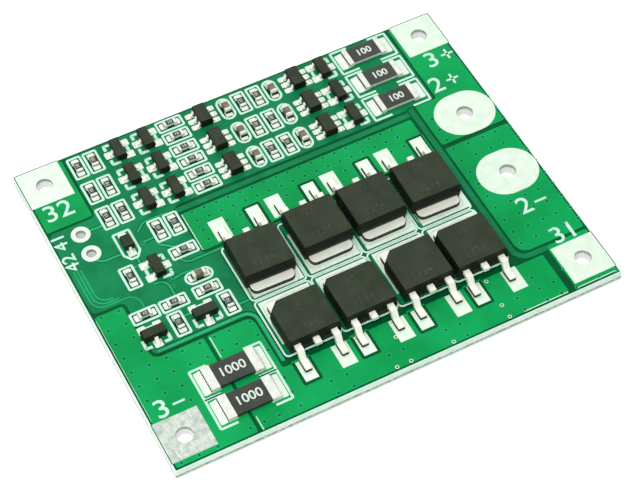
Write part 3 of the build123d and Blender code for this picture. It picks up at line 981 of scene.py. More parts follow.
def path_mesh(paths, height):
    """Paths as a mesh of edges at one height; a path whose ends meet is closed."""
    verts = []
    edges = []
    for path in paths:
        closed = (Vector(path[0]) - Vector(path[-1])).length < MEETING
        points = path[:-1] if closed else path
        first = len(verts)
        verts += [(point[0] * MM, point[1] * MM, height * MM) for point in points]
        edges += [(first + step, first + step + 1) for step in range(len(points) - 1)]
        if closed:
            edges.append((len(verts) - 1, first))
    mesh = bpy.data.meshes.new("paths")
    mesh.from_pydata(verts, edges, [])
    return mesh


def lines(paths, width, height, radius, base, material):
    """Strips that stand on a base height."""
    start = path_mesh(paths, base + height / 2)
    sizes = {"Width": width * MM, "Height": height * MM, "Radius": radius * MM}
    return run_tree(start, LINE_TREE, Material=material, **sizes)


def box_path(low, high):
    """A closed path round a rectangle."""
    corners = rectangle(low, high)
    return corners + corners[:1]


# %% [markdown]
# ## Scattering by Geometry Nodes
#
# Vias, solder skirts and marks come in dozens. The second tree takes one piece and sets a
# copy of it on every point of a mesh, turned and sized by two attributes of the point. So
# a list of places is all that a new kind of detail needs.

# %% The tree for scattered pieces
def attribute_node(tree, name, kind):
    """The output of a node that reads one attribute of the points."""
    node = tree.nodes.new("GeometryNodeInputNamedAttribute")
    node.data_type = kind
    node.inputs["Name"].default_value = name
    return next(socket for socket in node.outputs if socket.enabled and socket.name == "Attribute")


def make_scatter_tree():
    """One piece on every point, with the point's turn and size."""
    tree, start, end = geometry_tree(
        "scattered_pieces", [("Piece", "NodeSocketObject"), ("Material", "NodeSocketMaterial")]
    )
    piece = tree.nodes.new("GeometryNodeObjectInfo")
    piece.inputs["As Instance"].default_value = True
    place = tree.nodes.new("GeometryNodeInstanceOnPoints")
    turn = tree.nodes.new("ShaderNodeCombineXYZ")
    angle = tree.nodes.new("FunctionNodeEulerToRotation")
    tree.links.new(start.outputs["Piece"], piece.inputs["Object"])
    tree.links.new(start.outputs["Geometry"], place.inputs["Points"])
    tree.links.new(piece.outputs["Geometry"], place.inputs["Instance"])
    tree.links.new(attribute_node(tree, "turn", "FLOAT"), turn.inputs["Z"])
    tree.links.new(turn.outputs[0], angle.inputs[0])
    tree.links.new(angle.outputs[0], place.inputs["Rotation"])
    tree.links.new(attribute_node(tree, "size", "FLOAT_VECTOR"), place.inputs["Scale"])
    end_tree(tree, start, end, place.outputs[0])
    return tree


SCATTER_TREE = make_scatter_tree()
print("sockets for scattering:", [item.name for item in SCATTER_TREE.interface.items_tree])

# %% Places in, pieces out
def scatter(shape, spots, material):
    """Copies of a shape; each spot is a place in millimetres, a turn in radians and a size."""
    points = bpy.data.meshes.new("spots")
    points.from_pydata([tuple(place * MM) for place, turn, size in spots], [], [])
    turns = points.attributes.new("turn", "FLOAT", "POINT")
    sizes = points.attributes.new("size", "FLOAT_VECTOR", "POINT")
    for index, (place, turn, size) in enumerate(spots):
        turns.data[index].value = turn
        sizes.data[index].vector = size
    piece = bpy.data.objects.new("piece", shape)
    bpy.context.scene.collection.objects.link(piece)
    result = run_tree(points, SCATTER_TREE, Piece=piece, Material=material)
    bpy.data.objects.remove(piece)
    bpy.data.meshes.remove(shape)
    return result


# %% [markdown]
# ## Wire holes, lands and the underside
#
# Every wire hole is plated through: a tin sleeve joins the land on top with one below. The
# mouth of a sleeve shows as a dark crescent, so its first half millimetre is painted shade,
# and the sleeve below is painted light, whiter than the tin of the lands. The lands on top
# are the CAD nodes themselves, so they only take their finish. The underside is one sheet of
# lacquered copper with a round land at each hole.

# %% Sleeves, underside and tinned lands
UNDER_LAND = 0.9
UNDER_CLEARING = 0.35
MOUTH_DEPTH = 0.5
UPRIGHT_LIMIT = 0.5


def ring_plates(inner, outer, low, high):
    """A flat ring round each wire hole, from one margin to another."""
    rings = []
    for spot, radius in holes.values():
        loops = [circle(spot, radius + outer), circle(spot, radius + inner)]
        rings.append(plate_mesh(loops, low, high))
    return rings


def recoat(mesh, material, belongs):
    """Gives a second finish to the faces for which a test holds."""
    mesh.materials.append(material)
    for face in mesh.polygons:
        if belongs(face):
            face.material_index = 1


def is_upright(face):
    """True for the wall of a plate or a sleeve."""
    return abs(face.normal.z) < UPRIGHT_LIMIT


# The sleeves are painted light, and the upright faces of their mouths painted shade.
sleeves = ring_plates(0.0, PLATING, 0.0, TOP - MOUTH_DEPTH)
finished_from("plated_holes", sleeves, SLEEVE_PAINTED_LIGHT)
mouths = joined(ring_plates(0.0, PLATING, TOP - MOUTH_DEPTH, TOP), TINNED_LAND)
recoat(mouths, SLEEVE_MOUTH_SHADE, is_upright)
finished("hole_mouths", mouths)
under_lands = ring_plates(PLATING, UNDER_LAND, 0.0, UNDERSIDE_STEP)
finished_from("underside_lands", under_lands, TINNED_LAND)

under_loops = [rounded(rectangle((-EDGE_X, -EDGE_Y), (EDGE_X, EDGE_Y)), SHEET_CORNER)]
under_loops += drilled(UNDER_LAND + UNDER_CLEARING)
underside = plate_mesh(under_loops, 0.0, UNDERSIDE_STEP)
finished_from("underside_copper", [underside], MASK_ON_SHEET)

for name, thing in nodes.items():
    if "_land" in name:
        thing.material_slots[0].material = WORN_LAND_AND_SHADE if name == "battery_minus_land" else TINNED_LAND


# %% [markdown]
# ## Painted shade at the rim of the corner lands
#
# The corner lands reach the scored edge, where shade falls. It is painted as a very thin dark
# strip along the far edge and the sides, drawn by the tree for lines.

# %% Strips on the corner lands
LAND_TOP = TOP + 0.04
RIM_WIDTH = 0.1
RIM_HEIGHT = 0.003
RIM_TURN = 0.02


def rim_paths(name):
    """Short paths where a corner land meets the far edge or a side of the board."""
    low, high = islands(name)[0]
    side = math.copysign(HALF_X - SCORE_SETBACK - RIM_WIDTH / 2, middle((low, high)).x)
    paths = [[(side, low.y), (side, high.y)]]
    if high.y > HALF_Y - POUR_PULLBACK:
        far = HALF_Y - SCORE_SETBACK - RIM_WIDTH / 2
        paths.append([(low.x, far), (high.x, far)])
    return paths


# A dark strip of painted shade along the edge of each corner land.
paths = [path for name in named("battery_", "_land") for path in rim_paths(name)]
land_rims = lines(paths, RIM_WIDTH, RIM_HEIGHT, RIM_TURN, LAND_TOP, MASK_ON_LAMINATE_AND_SHADE)
finished_from("land_rims", [land_rims], MASK_ON_LAMINATE_AND_SHADE)

# %% [markdown]
# ## Traces
#
# A trace is a narrow strip of copper, and it shows through the lacquer as a lighter ridge
# between two dark valleys. The wide one fills the channel between the pours. The thin ones
# run between the small parts, where the copper sheet is cleared beside them.

# %% Wide and thin traces
TRUNK_PATHS = [[(-13.3, 9.0), (17.9, 9.0)], [(18.42, 10.0), (18.42, -15.62), (22.25, -15.62)]]
RIBBON_PATH = [(-23.2, -7.72), (-11.42, -7.72), (-11.42, -15.3)]
LEAD_GAP = [(-11.5, -15.5), (17.6, -15.5)]
TRACE_PATHS = [
    [(-24.2, 7.2), (-23.9, 6.3), (-21.3, 6.3)],
    [(-23.1, 11.05), (-21.6, 11.05)],
    [(-19.6, 0.75), (-18.25, 0.75), (-18.25, -1.7)],
    [(-19.9, 5.0), (-19.9, 4.2)],
    [(-18.4, 6.75), (-17.0, 6.75)],
    [(-16.9, 5.6), (-15.4, 4.4)],
    [(-15.7, 2.7), (-15.0, 1.75), (-10.6, 1.75)],
    [(-17.3, 0.4), (-16.4, 0.6), (-15.0, 0.55)],
    [(-18.7, -4.75), (-17.6, -4.75)],
    [(-12.6, -6.2), (-11.2, -6.2)],
    [(-18.3, 8.3), (-17.2, 9.3), (-14.2, 9.3)],
    [(-22.2, 3.9), (-20.4, 3.9)],
]
BUNDLE_PATHS = [
    [(-27.1, 6.6), (-27.1, 0.5), (-22.0, 0.5), (-22.0, -1.7)],
    [(-26.7, 6.5), (-26.7, 0.85), (-24.0, 0.85)], [(-26.3, 6.4), (-26.3, 1.2), (-24.6, 1.2)],
]
TRACE_LIFT = 0.014
VALLEY_LIFT = 0.004
TRUNK_WIDTH = 0.7
TRUNK_TURN = 1.6
RIBBON_WIDTH = 0.42
RIBBON_VALLEY = 0.85
RIBBON_TURN = 1.3
THIN_WIDTH = 0.3
THIN_VALLEY = 0.52
THIN_TURN = 1.1
BUNDLE_WIDTH = 0.17
BUNDLE_TURN = 1.4
LEAD_GAP_WIDTH = 0.62
LEAD_GAP_TURN = 1.0

trunk = lines(TRUNK_PATHS, TRUNK_WIDTH, COPPER_STEP, TRUNK_TURN, TOP - COPPER_STEP, MASK_ON_SHEET)
finished_from("trunk_trace", [trunk], MASK_ON_SHEET)
traces = [
    lines([RIBBON_PATH], RIBBON_WIDTH, TRACE_LIFT, RIBBON_TURN, TOP, MASK_ON_TRACE_AND_HIGHLIGHT),
    lines(TRACE_PATHS, THIN_WIDTH, TRACE_LIFT, THIN_TURN, TOP, MASK_ON_TRACE_AND_HIGHLIGHT),
    lines(BUNDLE_PATHS, BUNDLE_WIDTH, TRACE_LIFT, BUNDLE_TURN, TOP, MASK_ON_TRACE_AND_HIGHLIGHT),
]
finished_from("thin_traces", traces, MASK_ON_TRACE_AND_HIGHLIGHT)
valleys = [
    lines([RIBBON_PATH], RIBBON_VALLEY, VALLEY_LIFT, RIBBON_TURN, TOP, MASK_ON_LAMINATE_AND_SHADE),
    lines(TRACE_PATHS, THIN_VALLEY, VALLEY_LIFT, THIN_TURN, TOP, MASK_ON_LAMINATE_AND_SHADE),
    lines([LEAD_GAP], LEAD_GAP_WIDTH, VALLEY_LIFT, LEAD_GAP_TURN, TOP, MASK_ON_LAMINATE_AND_SHADE),
]

# %% [markdown]
# ## Vias
#
# A via is a small plated hole that joins the copper of the two faces. Under lacquer it is a
# dark dimple with a raised lip. The dark of the dimple is painted shade, a flat disc, and the
# lip takes a lighter green as a painted highlight. Rows of them stitch the wide pours
# together, and a few are left open, so their lip is bare tin round the same disc of shade.

# %% Rows of vias
VIA_LIP = ((0.17, 0.0), (0.19, 0.016), (0.24, 0.016), (0.3, 0.0))
VIA_DISC = 0.2
VIA_SIDES = 16
OPEN_SHARE = 0.8
STRIP_PITCH = 1.555


def lathe_mesh(profile):
    """A closed ring from a profile of radius and height."""
    verts = []
    for step in range(VIA_SIDES):
        angle = 2 * math.pi * step / VIA_SIDES
        verts += [(r * math.cos(angle) * MM, r * math.sin(angle) * MM, z * MM) for r, z in profile]
    mesh = bpy.data.meshes.new("lathe")
    mesh.from_pydata(verts, [], ring_faces(VIA_SIDES, len(profile)))
    return mesh


def grid(xs, ys):
    """Every crossing of some columns and rows."""
    return [(x, y) for x in xs for y in ys]


strip_columns = [-11.5 + STRIP_PITCH * step for step in range(18)]
tented = grid(strip_columns, (8.0, 6.6))
tented += grid((-11.5, -8.4, -6.75, -0.7, 7.1, 13.3, 14.95), (5.05,))
tented += grid((-11.5, -8.4), (3.6,))
tented += grid((19.95, 27.6), (7.1, 5.3, 3.55, 1.9, 0.0, -2.0, -4.0, -6.0, -7.9, -9.9, -11.9, -13.7))
tented += grid((21.95, 23.95, 25.7), (1.9, 0.0, -7.9, -9.9, -11.9, -13.7))
tented += grid((-26.9, -24.75), (-0.7, -2.7, -4.75, -6.8, -8.9, -10.9, -13.0))
tented += grid((-22.7, -20.75, -18.6), (-8.9, -10.9))
tented += grid((-16.8, -15.0, -12.4), (-8.9, -10.9, -21.3))
tented += [(-22.7, -13.0), (-22.65, -15.1), (-18.5, -21.3)]
tented += [(-12.3, -13.2), (-12.3, -17.3), (-12.4, -19.3)]
tented += grid((-8.0, -6.1, 8.2, 15.6, 18.5, 20.4), (-20.1, -21.8))
tented += grid((-0.8, 1.0, 6.4), (-20.1,))
tented += grid((-26.9, -24.8, -22.6), (-21.75,)) + grid((22.35, 25.3, 27.5), (-21.95,))
tented += [(22.35, -19.1), (18.5, -18.4), (-17.2, 1.75), (-18.4, 6.65), (-17.4, 0.6), (-18.0, -0.5)]
open_vias = grid((-0.75, 1.0, 6.4, 13.6), (-21.85,)) + [(1.0, -18.3), (13.7, -16.5), (13.6, -20.1)]
level = Vector((1.0, 1.0, 1.0))
tented_spots = [(Vector((x, y, TOP)), 0.0, level) for x, y in tented]
open_spots = [(Vector((x, y, TOP)), 0.0, level * OPEN_SHARE) for x, y in open_vias]

# Painted highlight: the lips take the lighter green of a trace.
lips = scatter(lathe_mesh(VIA_LIP), tented_spots, MASK_ON_TRACE_AND_HIGHLIGHT)
finished_from("via_lips", [lips], MASK_ON_TRACE_AND_HIGHLIGHT)
open_rims = scatter(lathe_mesh(VIA_LIP), open_spots, TINNED_LAND)
finished_from("open_via_rims", [open_rims], TINNED_LAND)
# Painted shade: a flat dark disc in each via.
disc = plate_mesh([circle((0.0, 0.0), VIA_DISC, VIA_SIDES)], 0.0, VALLEY_LIFT)
via_floors = scatter(disc, tented_spots + open_spots, VIA_PAINTED_SHADE)
finished_from("via_floors", [via_floors], VIA_PAINTED_SHADE)
print("vias:", len(tented), "tented,", len(open_vias), "open")

# %% [markdown]
# ## Packages and chips
#
# CAD corners are perfectly sharp, real ones never are: a mould has a radius, plating draws
# in at the corners. A narrow bevel catches the light along every edge, and that line of
# light is what makes a small part look real. Each CAD part is copied, merged and bevelled,
# and the copy takes its place. On the small flat lands only the upright corners are rounded,
# because an etched land is thin and flat but never sharp in outline.

# %% Soft edges
STRIP_TOP = TOP + 0.34
FLAT_ANGLE = math.radians(1.0)
SHARP_ANGLE = math.radians(24.0)
LEVEL_LIMIT = 0.01
SMALL_LAND_CORNER = 0.16
CORNER_STEPS = 3
EDGE_STEPS = 2


def is_sharp(edge):
    """An edge at which the surface turns more than it does along a curve."""
    return edge.is_manifold and edge.calc_face_angle(0.0) > SHARP_ANGLE


def climbs(edge):
    """An upright edge of a flat plate."""
    return abs(edge.verts[0].co.z - edge.verts[1].co.z) > LEVEL_LIMIT * MM


def softened(name, chosen, width, segments, material):
    """A copy of a CAD node with some of its edges rounded, in one finish."""
    shape = merged(name)
    bmesh.ops.dissolve_limit(
        shape, angle_limit=FLAT_ANGLE, verts=shape.verts, edges=shape.edges)
    bmesh.ops.bevel(
        shape, geom=[edge for edge in shape.edges if chosen(edge)], offset=width * MM,
        offset_type="OFFSET", segments=segments, profile=0.5, affect="EDGES", clamp_overlap=True,
    )
    if material is TINNED_LEAD:
        everything = shape.verts[:] + shape.edges[:] + shape.faces[:]
        cut = (0.0, 0.0, STRIP_TOP * MM)
        bmesh.ops.bisect_plane(shape, geom=everything, plane_co=cut, plane_no=(0, 0, 1))
    mesh = bpy.data.meshes.new(name)
    shape.to_mesh(mesh)
    shape.free()
    mesh.materials.clear()
    mesh.materials.append(material)
    return mesh


small_lands = softened("small_solder_lands", climbs, SMALL_LAND_CORNER, CORNER_STEPS, TINNED_LAND)
finished("rounded_small_lands", small_lands, ["small_solder_lands"])

# %% [markdown]
# ### Second finishes
#
# Some packages need two. A moulded body gets painted shade on its sides. Chip and balance
# resistors have white ceramic under their black coat. A leadframe shows cut copper where it
# was punched, all round its tab and low down at the feet, painted darker still as shade. The
# leads are split at that height, so that the change has a clean line.

# %% Packages, leads and chips
SIDE_LIMIT = 0.6
PUNCHED_LIMIT = 0.3
MARK_DEPTH = 0.004
FLAT_TOP = 1e-7
SOFT_PARTS = (
    ("mosfet_", "_body", "moulded_body", MOULDED_EPOXY, MOULD_SIDE_SHADE, 0.07),
    ("mosfet_", "_leadframe", "tinned_lead", TINNED_LEAD, CUT_COPPER_AND_SHADE, 0.04),
    ("shunt_", "_body", "resistor_coat", RESISTOR_GLAZE, None, 0.05),
    ("shunt_", "_terminals", "chip_terminal", CHIP_TERMINAL, None, 0.06),
    ("balance_resistor_", "_body", "resistor_coat", RESISTOR_GLAZE, ALUMINA, 0.04),
    ("balance_resistor_", "_terminals", "chip_terminal", CHIP_TERMINAL, None, 0.05),
    ("left_monitor_", "_body", "moulded_body", MOULDED_EPOXY, MOULD_SIDE_SHADE, 0.05),
    ("right_monitor_", "_body", "moulded_body", MOULDED_EPOXY, MOULD_SIDE_SHADE, 0.05),
    ("left_monitor_leads", "", "tinned_lead", TINNED_LEAD, None, 0.02),
    ("right_monitor_leads", "", "tinned_lead", TINNED_LEAD, None, 0.02),
    ("", "_transistor_bodies", "moulded_body", MOULDED_EPOXY, MOULD_SIDE_SHADE, 0.05),
    ("", "_transistor_leads", "tinned_lead", TINNED_LEAD, None, 0.02),
    ("diode_body", "", "moulded_body", MOULDED_EPOXY, MOULD_SIDE_SHADE, 0.05),
    ("diode_leads", "", "tinned_lead", TINNED_LEAD, None, 0.02),
    ("chip_resistor_bodies", "", "resistor_coat", RESISTOR_GLAZE, ALUMINA, 0.03),
    ("chip_resistor_terminals", "", "chip_terminal", CHIP_TERMINAL, None, 0.04),
    ("chip_capacitor_bodies", "", "capacitor_ceramic", CAPACITOR_CERAMIC, None, 0.05),
    ("chip_capacitor_terminals", "", "chip_terminal", CHIP_TERMINAL, None, 0.05),
)


def is_side(face):
    """True for all but the top of a body."""
    return face.normal.z < SIDE_LIMIT


def punched_edges(name):
    """A test for the upright faces of a leadframe: all of its tab, and low down at its feet."""
    body = middle(islands(name.replace("leadframe", "body"))[0])
    tab = max(islands(name), key=lambda box: box[1].x - box[0].x)
    way = math.copysign(1, middle(tab).y - body.y)

    def holds(face):
        spot = face.center / MM
        limit = tab[1].z if (spot.y - body.y) * way > 0 else STRIP_TOP
        return abs(face.normal.z) < PUNCHED_LIMIT and spot.z < limit

    return holds


def sink_top(mesh):
    """Lowers a flat top, to make room for a mark on it."""
    top = max(vert.co.z for vert in mesh.vertices)
    for vert in mesh.vertices:
        if vert.co.z > top - FLAT_TOP:
            vert.co.z -= MARK_DEPTH * MM


for start, end, slot, material, second, width in SOFT_PARTS:
    for name in named(start, end):
        mesh = softened(name, is_sharp, width, EDGE_STEPS, material)
        if second:
            recoat(mesh, second, punched_edges(name) if second is CUT_COPPER_AND_SHADE else is_side)
        if start == "mosfet_" and end == "_body":
            sink_top(mesh)
        finished("soft_" + name, mesh, [name])


# %% [markdown]
# ## Solder
#
# Reflowed solder climbs the end of each terminal in a hollow curve, thick at the metal and
# thin at the rim of its land. One skirt is modelled, and the scatter tree sets it at every
# terminal, turned outward and sized to the part.

# %% Skirts at the terminals
SKIRT_CURVE = ((0.0, 1.0), (0.2, 0.5), (0.4, 0.25), (0.65, 0.09), (1.0, 0.0))
SKIRT_TUCK = 0.02
STEEP_LIMITS = (0.1, 0.62)
SKIRTS = (
    ("chip_resistor", "_bodies", 0.34, 0.3),
    ("chip_capacitor", "_bodies", 0.38, 0.5),
    ("balance_resistor", "_body", 0.55, 0.36),
    ("shunt", "_body", 0.5, 0.4),
)


def skirt_mesh():
    """A unit skirt: it starts at the origin, runs out along X, and is as wide as Y is."""
    profile = SKIRT_CURVE + ((0.0, 0.0),)
    count = len(profile)
    verts = [(x * MM, side * MM / 2, z * MM) for side in (-1, 1) for x, z in profile]
    faces = [tuple(range(count)), tuple(range(2 * count - 1, count - 1, -1))]
    for step in range(count):
        ahead = (step + 1) % count
        faces.append((step, step + count, ahead + count, ahead))
    mesh = bpy.data.meshes.new("skirt")
    mesh.from_pydata(verts, [], faces)
    shape = bmesh.new()
    shape.from_mesh(mesh)
    bmesh.ops.recalc_face_normals(shape, faces=shape.faces)
    shape.to_mesh(mesh)
    shape.free()
    return mesh


def is_hollow(face):
    """True for the steep part of a skirt, which mirrors the dark side of its part."""
    return STEEP_LIMITS[0] < face.normal.z < STEEP_LIMITS[1]


def nearest(spot, boxes):
    """The middle of the box that lies nearest to a spot."""
    return min((middle(box) for box in boxes), key=lambda other: (other.xy - spot.xy).length)


def main_way(offset):
    """The direction along X or Y in which an offset mostly points."""
    if abs(offset.x) > abs(offset.y):
        return Vector((math.copysign(1, offset.x), 0.0))
    return Vector((0.0, math.copysign(1, offset.y)))


def outer_ends(metal, bodies, length, climb):
    """A place, a turn and a size at the outer end of each terminal or lead of some nodes."""
    spots = []
    body_boxes = [box for name in bodies for box in islands(name)]
    for low, high in [box for name in metal for box in islands(name)]:
        spot = middle((low, high))
        way = main_way(spot - nearest(spot, body_boxes))
        along = 0 if way.x else 1
        half = (high - low) / 2
        place = (spot.xy + way * (half[along] - SKIRT_TUCK)).to_3d()
        place.z = LAND_TOP
        spots.append((place, math.atan2(way.y, way.x), Vector((length, 2 * half[1 - along], climb))))
    return spots


skirt_spots = []
for kind, end, length, climb in SKIRTS:
    skirt_spots += outer_ends(named(kind, "_terminals"), named(kind, end), length, climb)
skirts = joined([scatter(skirt_mesh(), skirt_spots, SOLDER)], SOLDER)
# The steep faces of the skirts take a painted reflection of the part's dark side.
recoat(skirts, PAINTED_SHADE_AND_REFLECTION, is_hollow)
finished("solder_skirts", skirts)
print("skirts:", len(skirt_spots))

# %% [markdown]
# ## Mounds at the small leads
#
# The thin leads of the small packages are drowned in solder, which stands round the foot as
# a smooth mound. It has a finished shape of its own, and it is set at the same places as a
# skirt would be, a little wider than the lead.

# %% Solder mounds
MOUND_CURVE = ((0.3, 0.93), (0.6, 0.7), (0.85, 0.35), (1.0, 0.0))
MOUND_SIDES = 14
MOUND_LENGTH = 0.3
MOUND_CLIMB = 0.17
MOUND_SPREAD = 1.05
LEAD_KINDS = (
    ("", "_transistor_leads", "_transistor_bodies"),
    ("left", "_monitor_leads", "_body"),
    ("right", "_monitor_leads", "_body"),
)


def mound_mesh():
    """A round mound of radius one, which the scatter tree stretches over each lead."""
    count = MOUND_SIDES
    angles = [2 * math.pi * step / count for step in range(count)]
    verts = [
        (r * math.cos(angle) * MM, r * math.sin(angle) * MM, z * MM)
        for r, z in MOUND_CURVE for angle in angles
    ]
    top = len(verts)
    verts.append((0.0, 0.0, MM))
    faces = [(top, step, (step + 1) % count) for step in range(count)]
    for inner in range(0, top - count, count):
        for step in range(count):
            ahead = (step + 1) % count
            faces.append((inner + step, inner + count + step, inner + count + ahead, inner + ahead))
    faces.append(tuple(top - 1 - step for step in range(count)))
    mesh = bpy.data.meshes.new("mound")
    mesh.from_pydata(verts, [], faces)
    return mesh


mound_spots = []
for kind, leads, bodies in LEAD_KINDS:
    ends = outer_ends(named(kind, leads), named(kind, bodies), MOUND_LENGTH, MOUND_CLIMB)
    for place, turn, size in ends:
        size.y *= MOUND_SPREAD
        mound_spots.append((place, turn, size))
mounds = scatter(mound_mesh(), mound_spots, SOLDER)
finished_from("solder_mounds", [mounds], SOLDER)
print("mounds:", len(mound_spots))

# %% [markdown]
# ## Creases and ripples in painted shade
#
# Where the metal of a power transistor meets its land, a fine dark line of painted shade
# marks the join, and round each tab the solder has set in a low ring, drawn darker as painted
# shade. Both are paths for the tree of lines. They come from the outline of whatever part of
# the leadframe stands on a land.

# %% Lines round the feet of the power transistors
CREASE_WIDTH = 0.15
CREASE_HEIGHT = 0.02
CREASE_TURN = 0.05
RIPPLE_REACH = 0.38
RIPPLE_WIDTH = 0.07
RIPPLE_TURN = 0.3
WIDE_OUTLINE = 7


def grown(path, reach):
    """A closed path moved outward from its middle."""
    heart = middle(box_of([Vector((*point, 0.0)) for point in path])).xy
    moved = []
    for point in path:
        out = Vector(point) - heart
        step = Vector((math.copysign(reach, out.x), math.copysign(reach, out.y)))
        moved.append(tuple(heart + out + step))
    return moved


def foot_outlines():
    """A closed path round whatever part of each leadframe stands on a land."""
    paths = []
    for name in named("mosfet_", "_leadframe"):
        for corners in solids(name):
            low = [corner.xy for corner in corners if corner.z < TOP + COPPER_STEP]
            if len(low) > 2:
                path = [tuple(low[index]) for index in convex_hull_2d(low)]
                paths.append(path + path[:1])
    return paths


feet = foot_outlines()
# Painted shade in a fine dark line round each foot.
shade_lines = lines(feet, CREASE_WIDTH, CREASE_HEIGHT, CREASE_TURN, LAND_TOP, PAINTED_SHADE_AND_REFLECTION)
finished_from("foot_creases", [shade_lines], PAINTED_SHADE_AND_REFLECTION)
tabs = [path for path in feet if len(path) > WIDE_OUTLINE]
tab_rings = [grown(path, RIPPLE_REACH) for path in tabs]
# The ripple ring is painted shade in the worn land's darker grey.
ripples = lines(tab_rings, RIPPLE_WIDTH, CREASE_HEIGHT, RIPPLE_TURN, LAND_TOP, WORN_LAND_AND_SHADE)
finished_from("solder_ripples", [ripples], WORN_LAND_AND_SHADE)
print("outlines on lands:", len(feet), "of which tabs:", len(tabs))

# %% [markdown]
# ## Printed outlines
#
# White ink marks where each part belongs, so that a person can check the board at a glance.
# Boxes go round the chips, one lattice of rounded cells round the power transistors, and
# brackets beside the small transistors. The same ink draws painted highlights along a few
# pour edges. The print is about a hundredth of a millimetre thick. Inside the boxes the copper
# is cleared, which is why the chips stand on darker ground: a thin dark plate with the box's
# own outline, darker still as painted shade round the chips.

# %% Print round the chips
PRINT_HEIGHT = 0.012
PRINT_BASE = TOP + VALLEY_LIFT
PRINT_LINE = 0.29
RESISTOR_FRAME = Vector((3.14, 1.56, 0.0))
CAPACITOR_FRAME = Vector((3.2, 1.55, 0.0))
RESISTOR_FLOOR_CORNER = 0.1
CAPACITOR_FLOOR_CORNER = 0.7


def frame_round(box, frame):
    """A closed path of a given size round a part, turned as the part lies."""
    spot = middle(box)
    along = box[1] - box[0]
    half = frame / 2 if along.x > along.y else Vector((frame.y, frame.x, 0.0)) / 2
    return box_path(spot - half, spot + half)


resistor_frames = [frame_round(box, RESISTOR_FRAME) for box in islands("chip_resistor_bodies")]
capacitor_frames = [frame_round(box, CAPACITOR_FRAME) for box in islands("chip_capacitor_bodies")]
loops = [rounded(path[:-1], RESISTOR_FLOOR_CORNER) for path in resistor_frames]
loops += [rounded(path[:-1], CAPACITOR_FLOOR_CORNER) for path in capacitor_frames]
# A dark plate of cleared copper and painted shade inside each box.
chip_floors = [plate_mesh([loop], TOP, TOP + VALLEY_LIFT) for loop in loops]
finished_from("chip_floors", chip_floors, MASK_UNDER_CHIP_AND_SHADE)

# %% The lattice, and frames with gaps
LATTICE_START = -11.05
LATTICE_PITCH = 7.17
LATTICE_LINE = 0.24
LATTICE_CLEARING = 0.3
CELL_INSET = 0.1
FAR_CELL = (-6.65, 1.6)
NEAR_CELL = (-15.08, -6.85)
OPEN_FRAMES = (
    ("balance_resistor_", (3.75, 1.83), (-1.5, 1.4)),
    ("shunt_", (4.35, 2.02), (-2.3, 2.3)),
)
DIODE_FRAME = (
    (-1.0, 1.95), (1.0, 1.95), (1.0, -1.3), (0.4, -2.1), (-0.4, -2.1), (-1.0, -1.3), (-1.0, 1.95),
)


def open_box(spot, reach, gap):
    """A box round a spot whose long sides are broken between two places."""
    far, near = spot.y + reach[1], spot.y - reach[1]
    paths = []
    for side, end in ((-1, spot.x + gap[0]), (1, spot.x + gap[1])):
        x = spot.x + side * reach[0]
        paths.append([(end, far), (x, far), (x, near), (end, near)])
    return paths


cells = []
for column in range(4):
    left = LATTICE_START + column * LATTICE_PITCH
    right = left + LATTICE_PITCH
    for low, high in (FAR_CELL, NEAR_CELL):
        cells.append(box_path((left + CELL_INSET, low), (right - CELL_INSET, high)))

large_frames = []
for start, reach, gap in OPEN_FRAMES:
    for name in named(start, "_body"):
        large_frames += open_box(middle(islands(name)[0]), reach, gap)
spot = middle(islands("diode_body")[0])
large_frames.append([(spot.x + x, spot.y + y) for x, y in DIODE_FRAME])
print("lattice cells:", len(cells), "large frames:", len(large_frames))

# %% Brackets beside the small transistors
BRACKETS = (
    ((1.27, 0.75), (1.27, 1.5), (0.3, 1.5)),
    ((1.27, -0.75), (1.27, -1.5), (0.1, -1.5)),
    ((-1.25, 0.4), (-1.25, -0.4)),
)


def single_lead_way(body, leads):
    """The direction from a small transistor's middle to its single lead."""
    spot = middle(body).xy
    own = sorted((middle(lead).xy - spot for lead in leads), key=lambda offset: offset.length)[:3]
    return main_way(-sum(own, Vector((0.0, 0.0))))


brackets = []
for name in named("", "_transistor_bodies"):
    leads = islands(name.replace("bodies", "leads"))
    for body in islands(name):
        way = single_lead_way(body, leads)
        side = Vector((-way.y, way.x))
        spot = middle(body).xy
        brackets += [[tuple(spot + way * x + side * y) for x, y in path] for path in BRACKETS]
print("brackets:", len(brackets))

# %% Print every line
# These two lists are painted highlights, bright strips where a pour edge catches light.
PAINTED_EDGE_HIGHLIGHTS = [
    [(-17.3, -8.7), (-17.3, -11.7)], [(-17.3, -20.3), (-17.3, -22.2)], [(15.4, -22.03), (21.1, -22.03)],
    [(22.4, -22.03), (27.5, -22.03)], [(-12.75, 8.2), (-12.75, 2.5)],
]
PAINTED_SIDE_HIGHLIGHT = [(-27.6, -0.8), (-27.6, -15.6)]
BRACKET_LINE = 0.38
EDGE_LINE = 0.11
SIDE_LINE = 0.045
BOX_TURN = 0.12
ROUND_TURN = 0.75
CELL_TURN = 0.5
FINE_TURN = 0.1
PRINTED = (
    (resistor_frames, PRINT_LINE, BOX_TURN),
    (capacitor_frames, PRINT_LINE, ROUND_TURN),
    (cells, LATTICE_LINE, CELL_TURN),
    (large_frames, PRINT_LINE, BOX_TURN),
    (brackets, BRACKET_LINE, FINE_TURN),
    (PAINTED_EDGE_HIGHLIGHTS, EDGE_LINE, FINE_TURN),
    ([PAINTED_SIDE_HIGHLIGHT], SIDE_LINE, FINE_TURN),
)

prints = [
    lines(paths, width, PRINT_HEIGHT, turn, PRINT_BASE, PRINT_INK) for paths, width, turn in PRINTED
]
finished_from("print_frames", prints, PRINT_INK)
clearing = LATTICE_LINE + LATTICE_CLEARING
valleys.append(lines(cells, clearing, VALLEY_LIFT, CELL_TURN, TOP, MASK_ON_LAMINATE_AND_SHADE))
finished_from("cleared_copper", valleys, MASK_ON_LAMINATE_AND_SHADE)

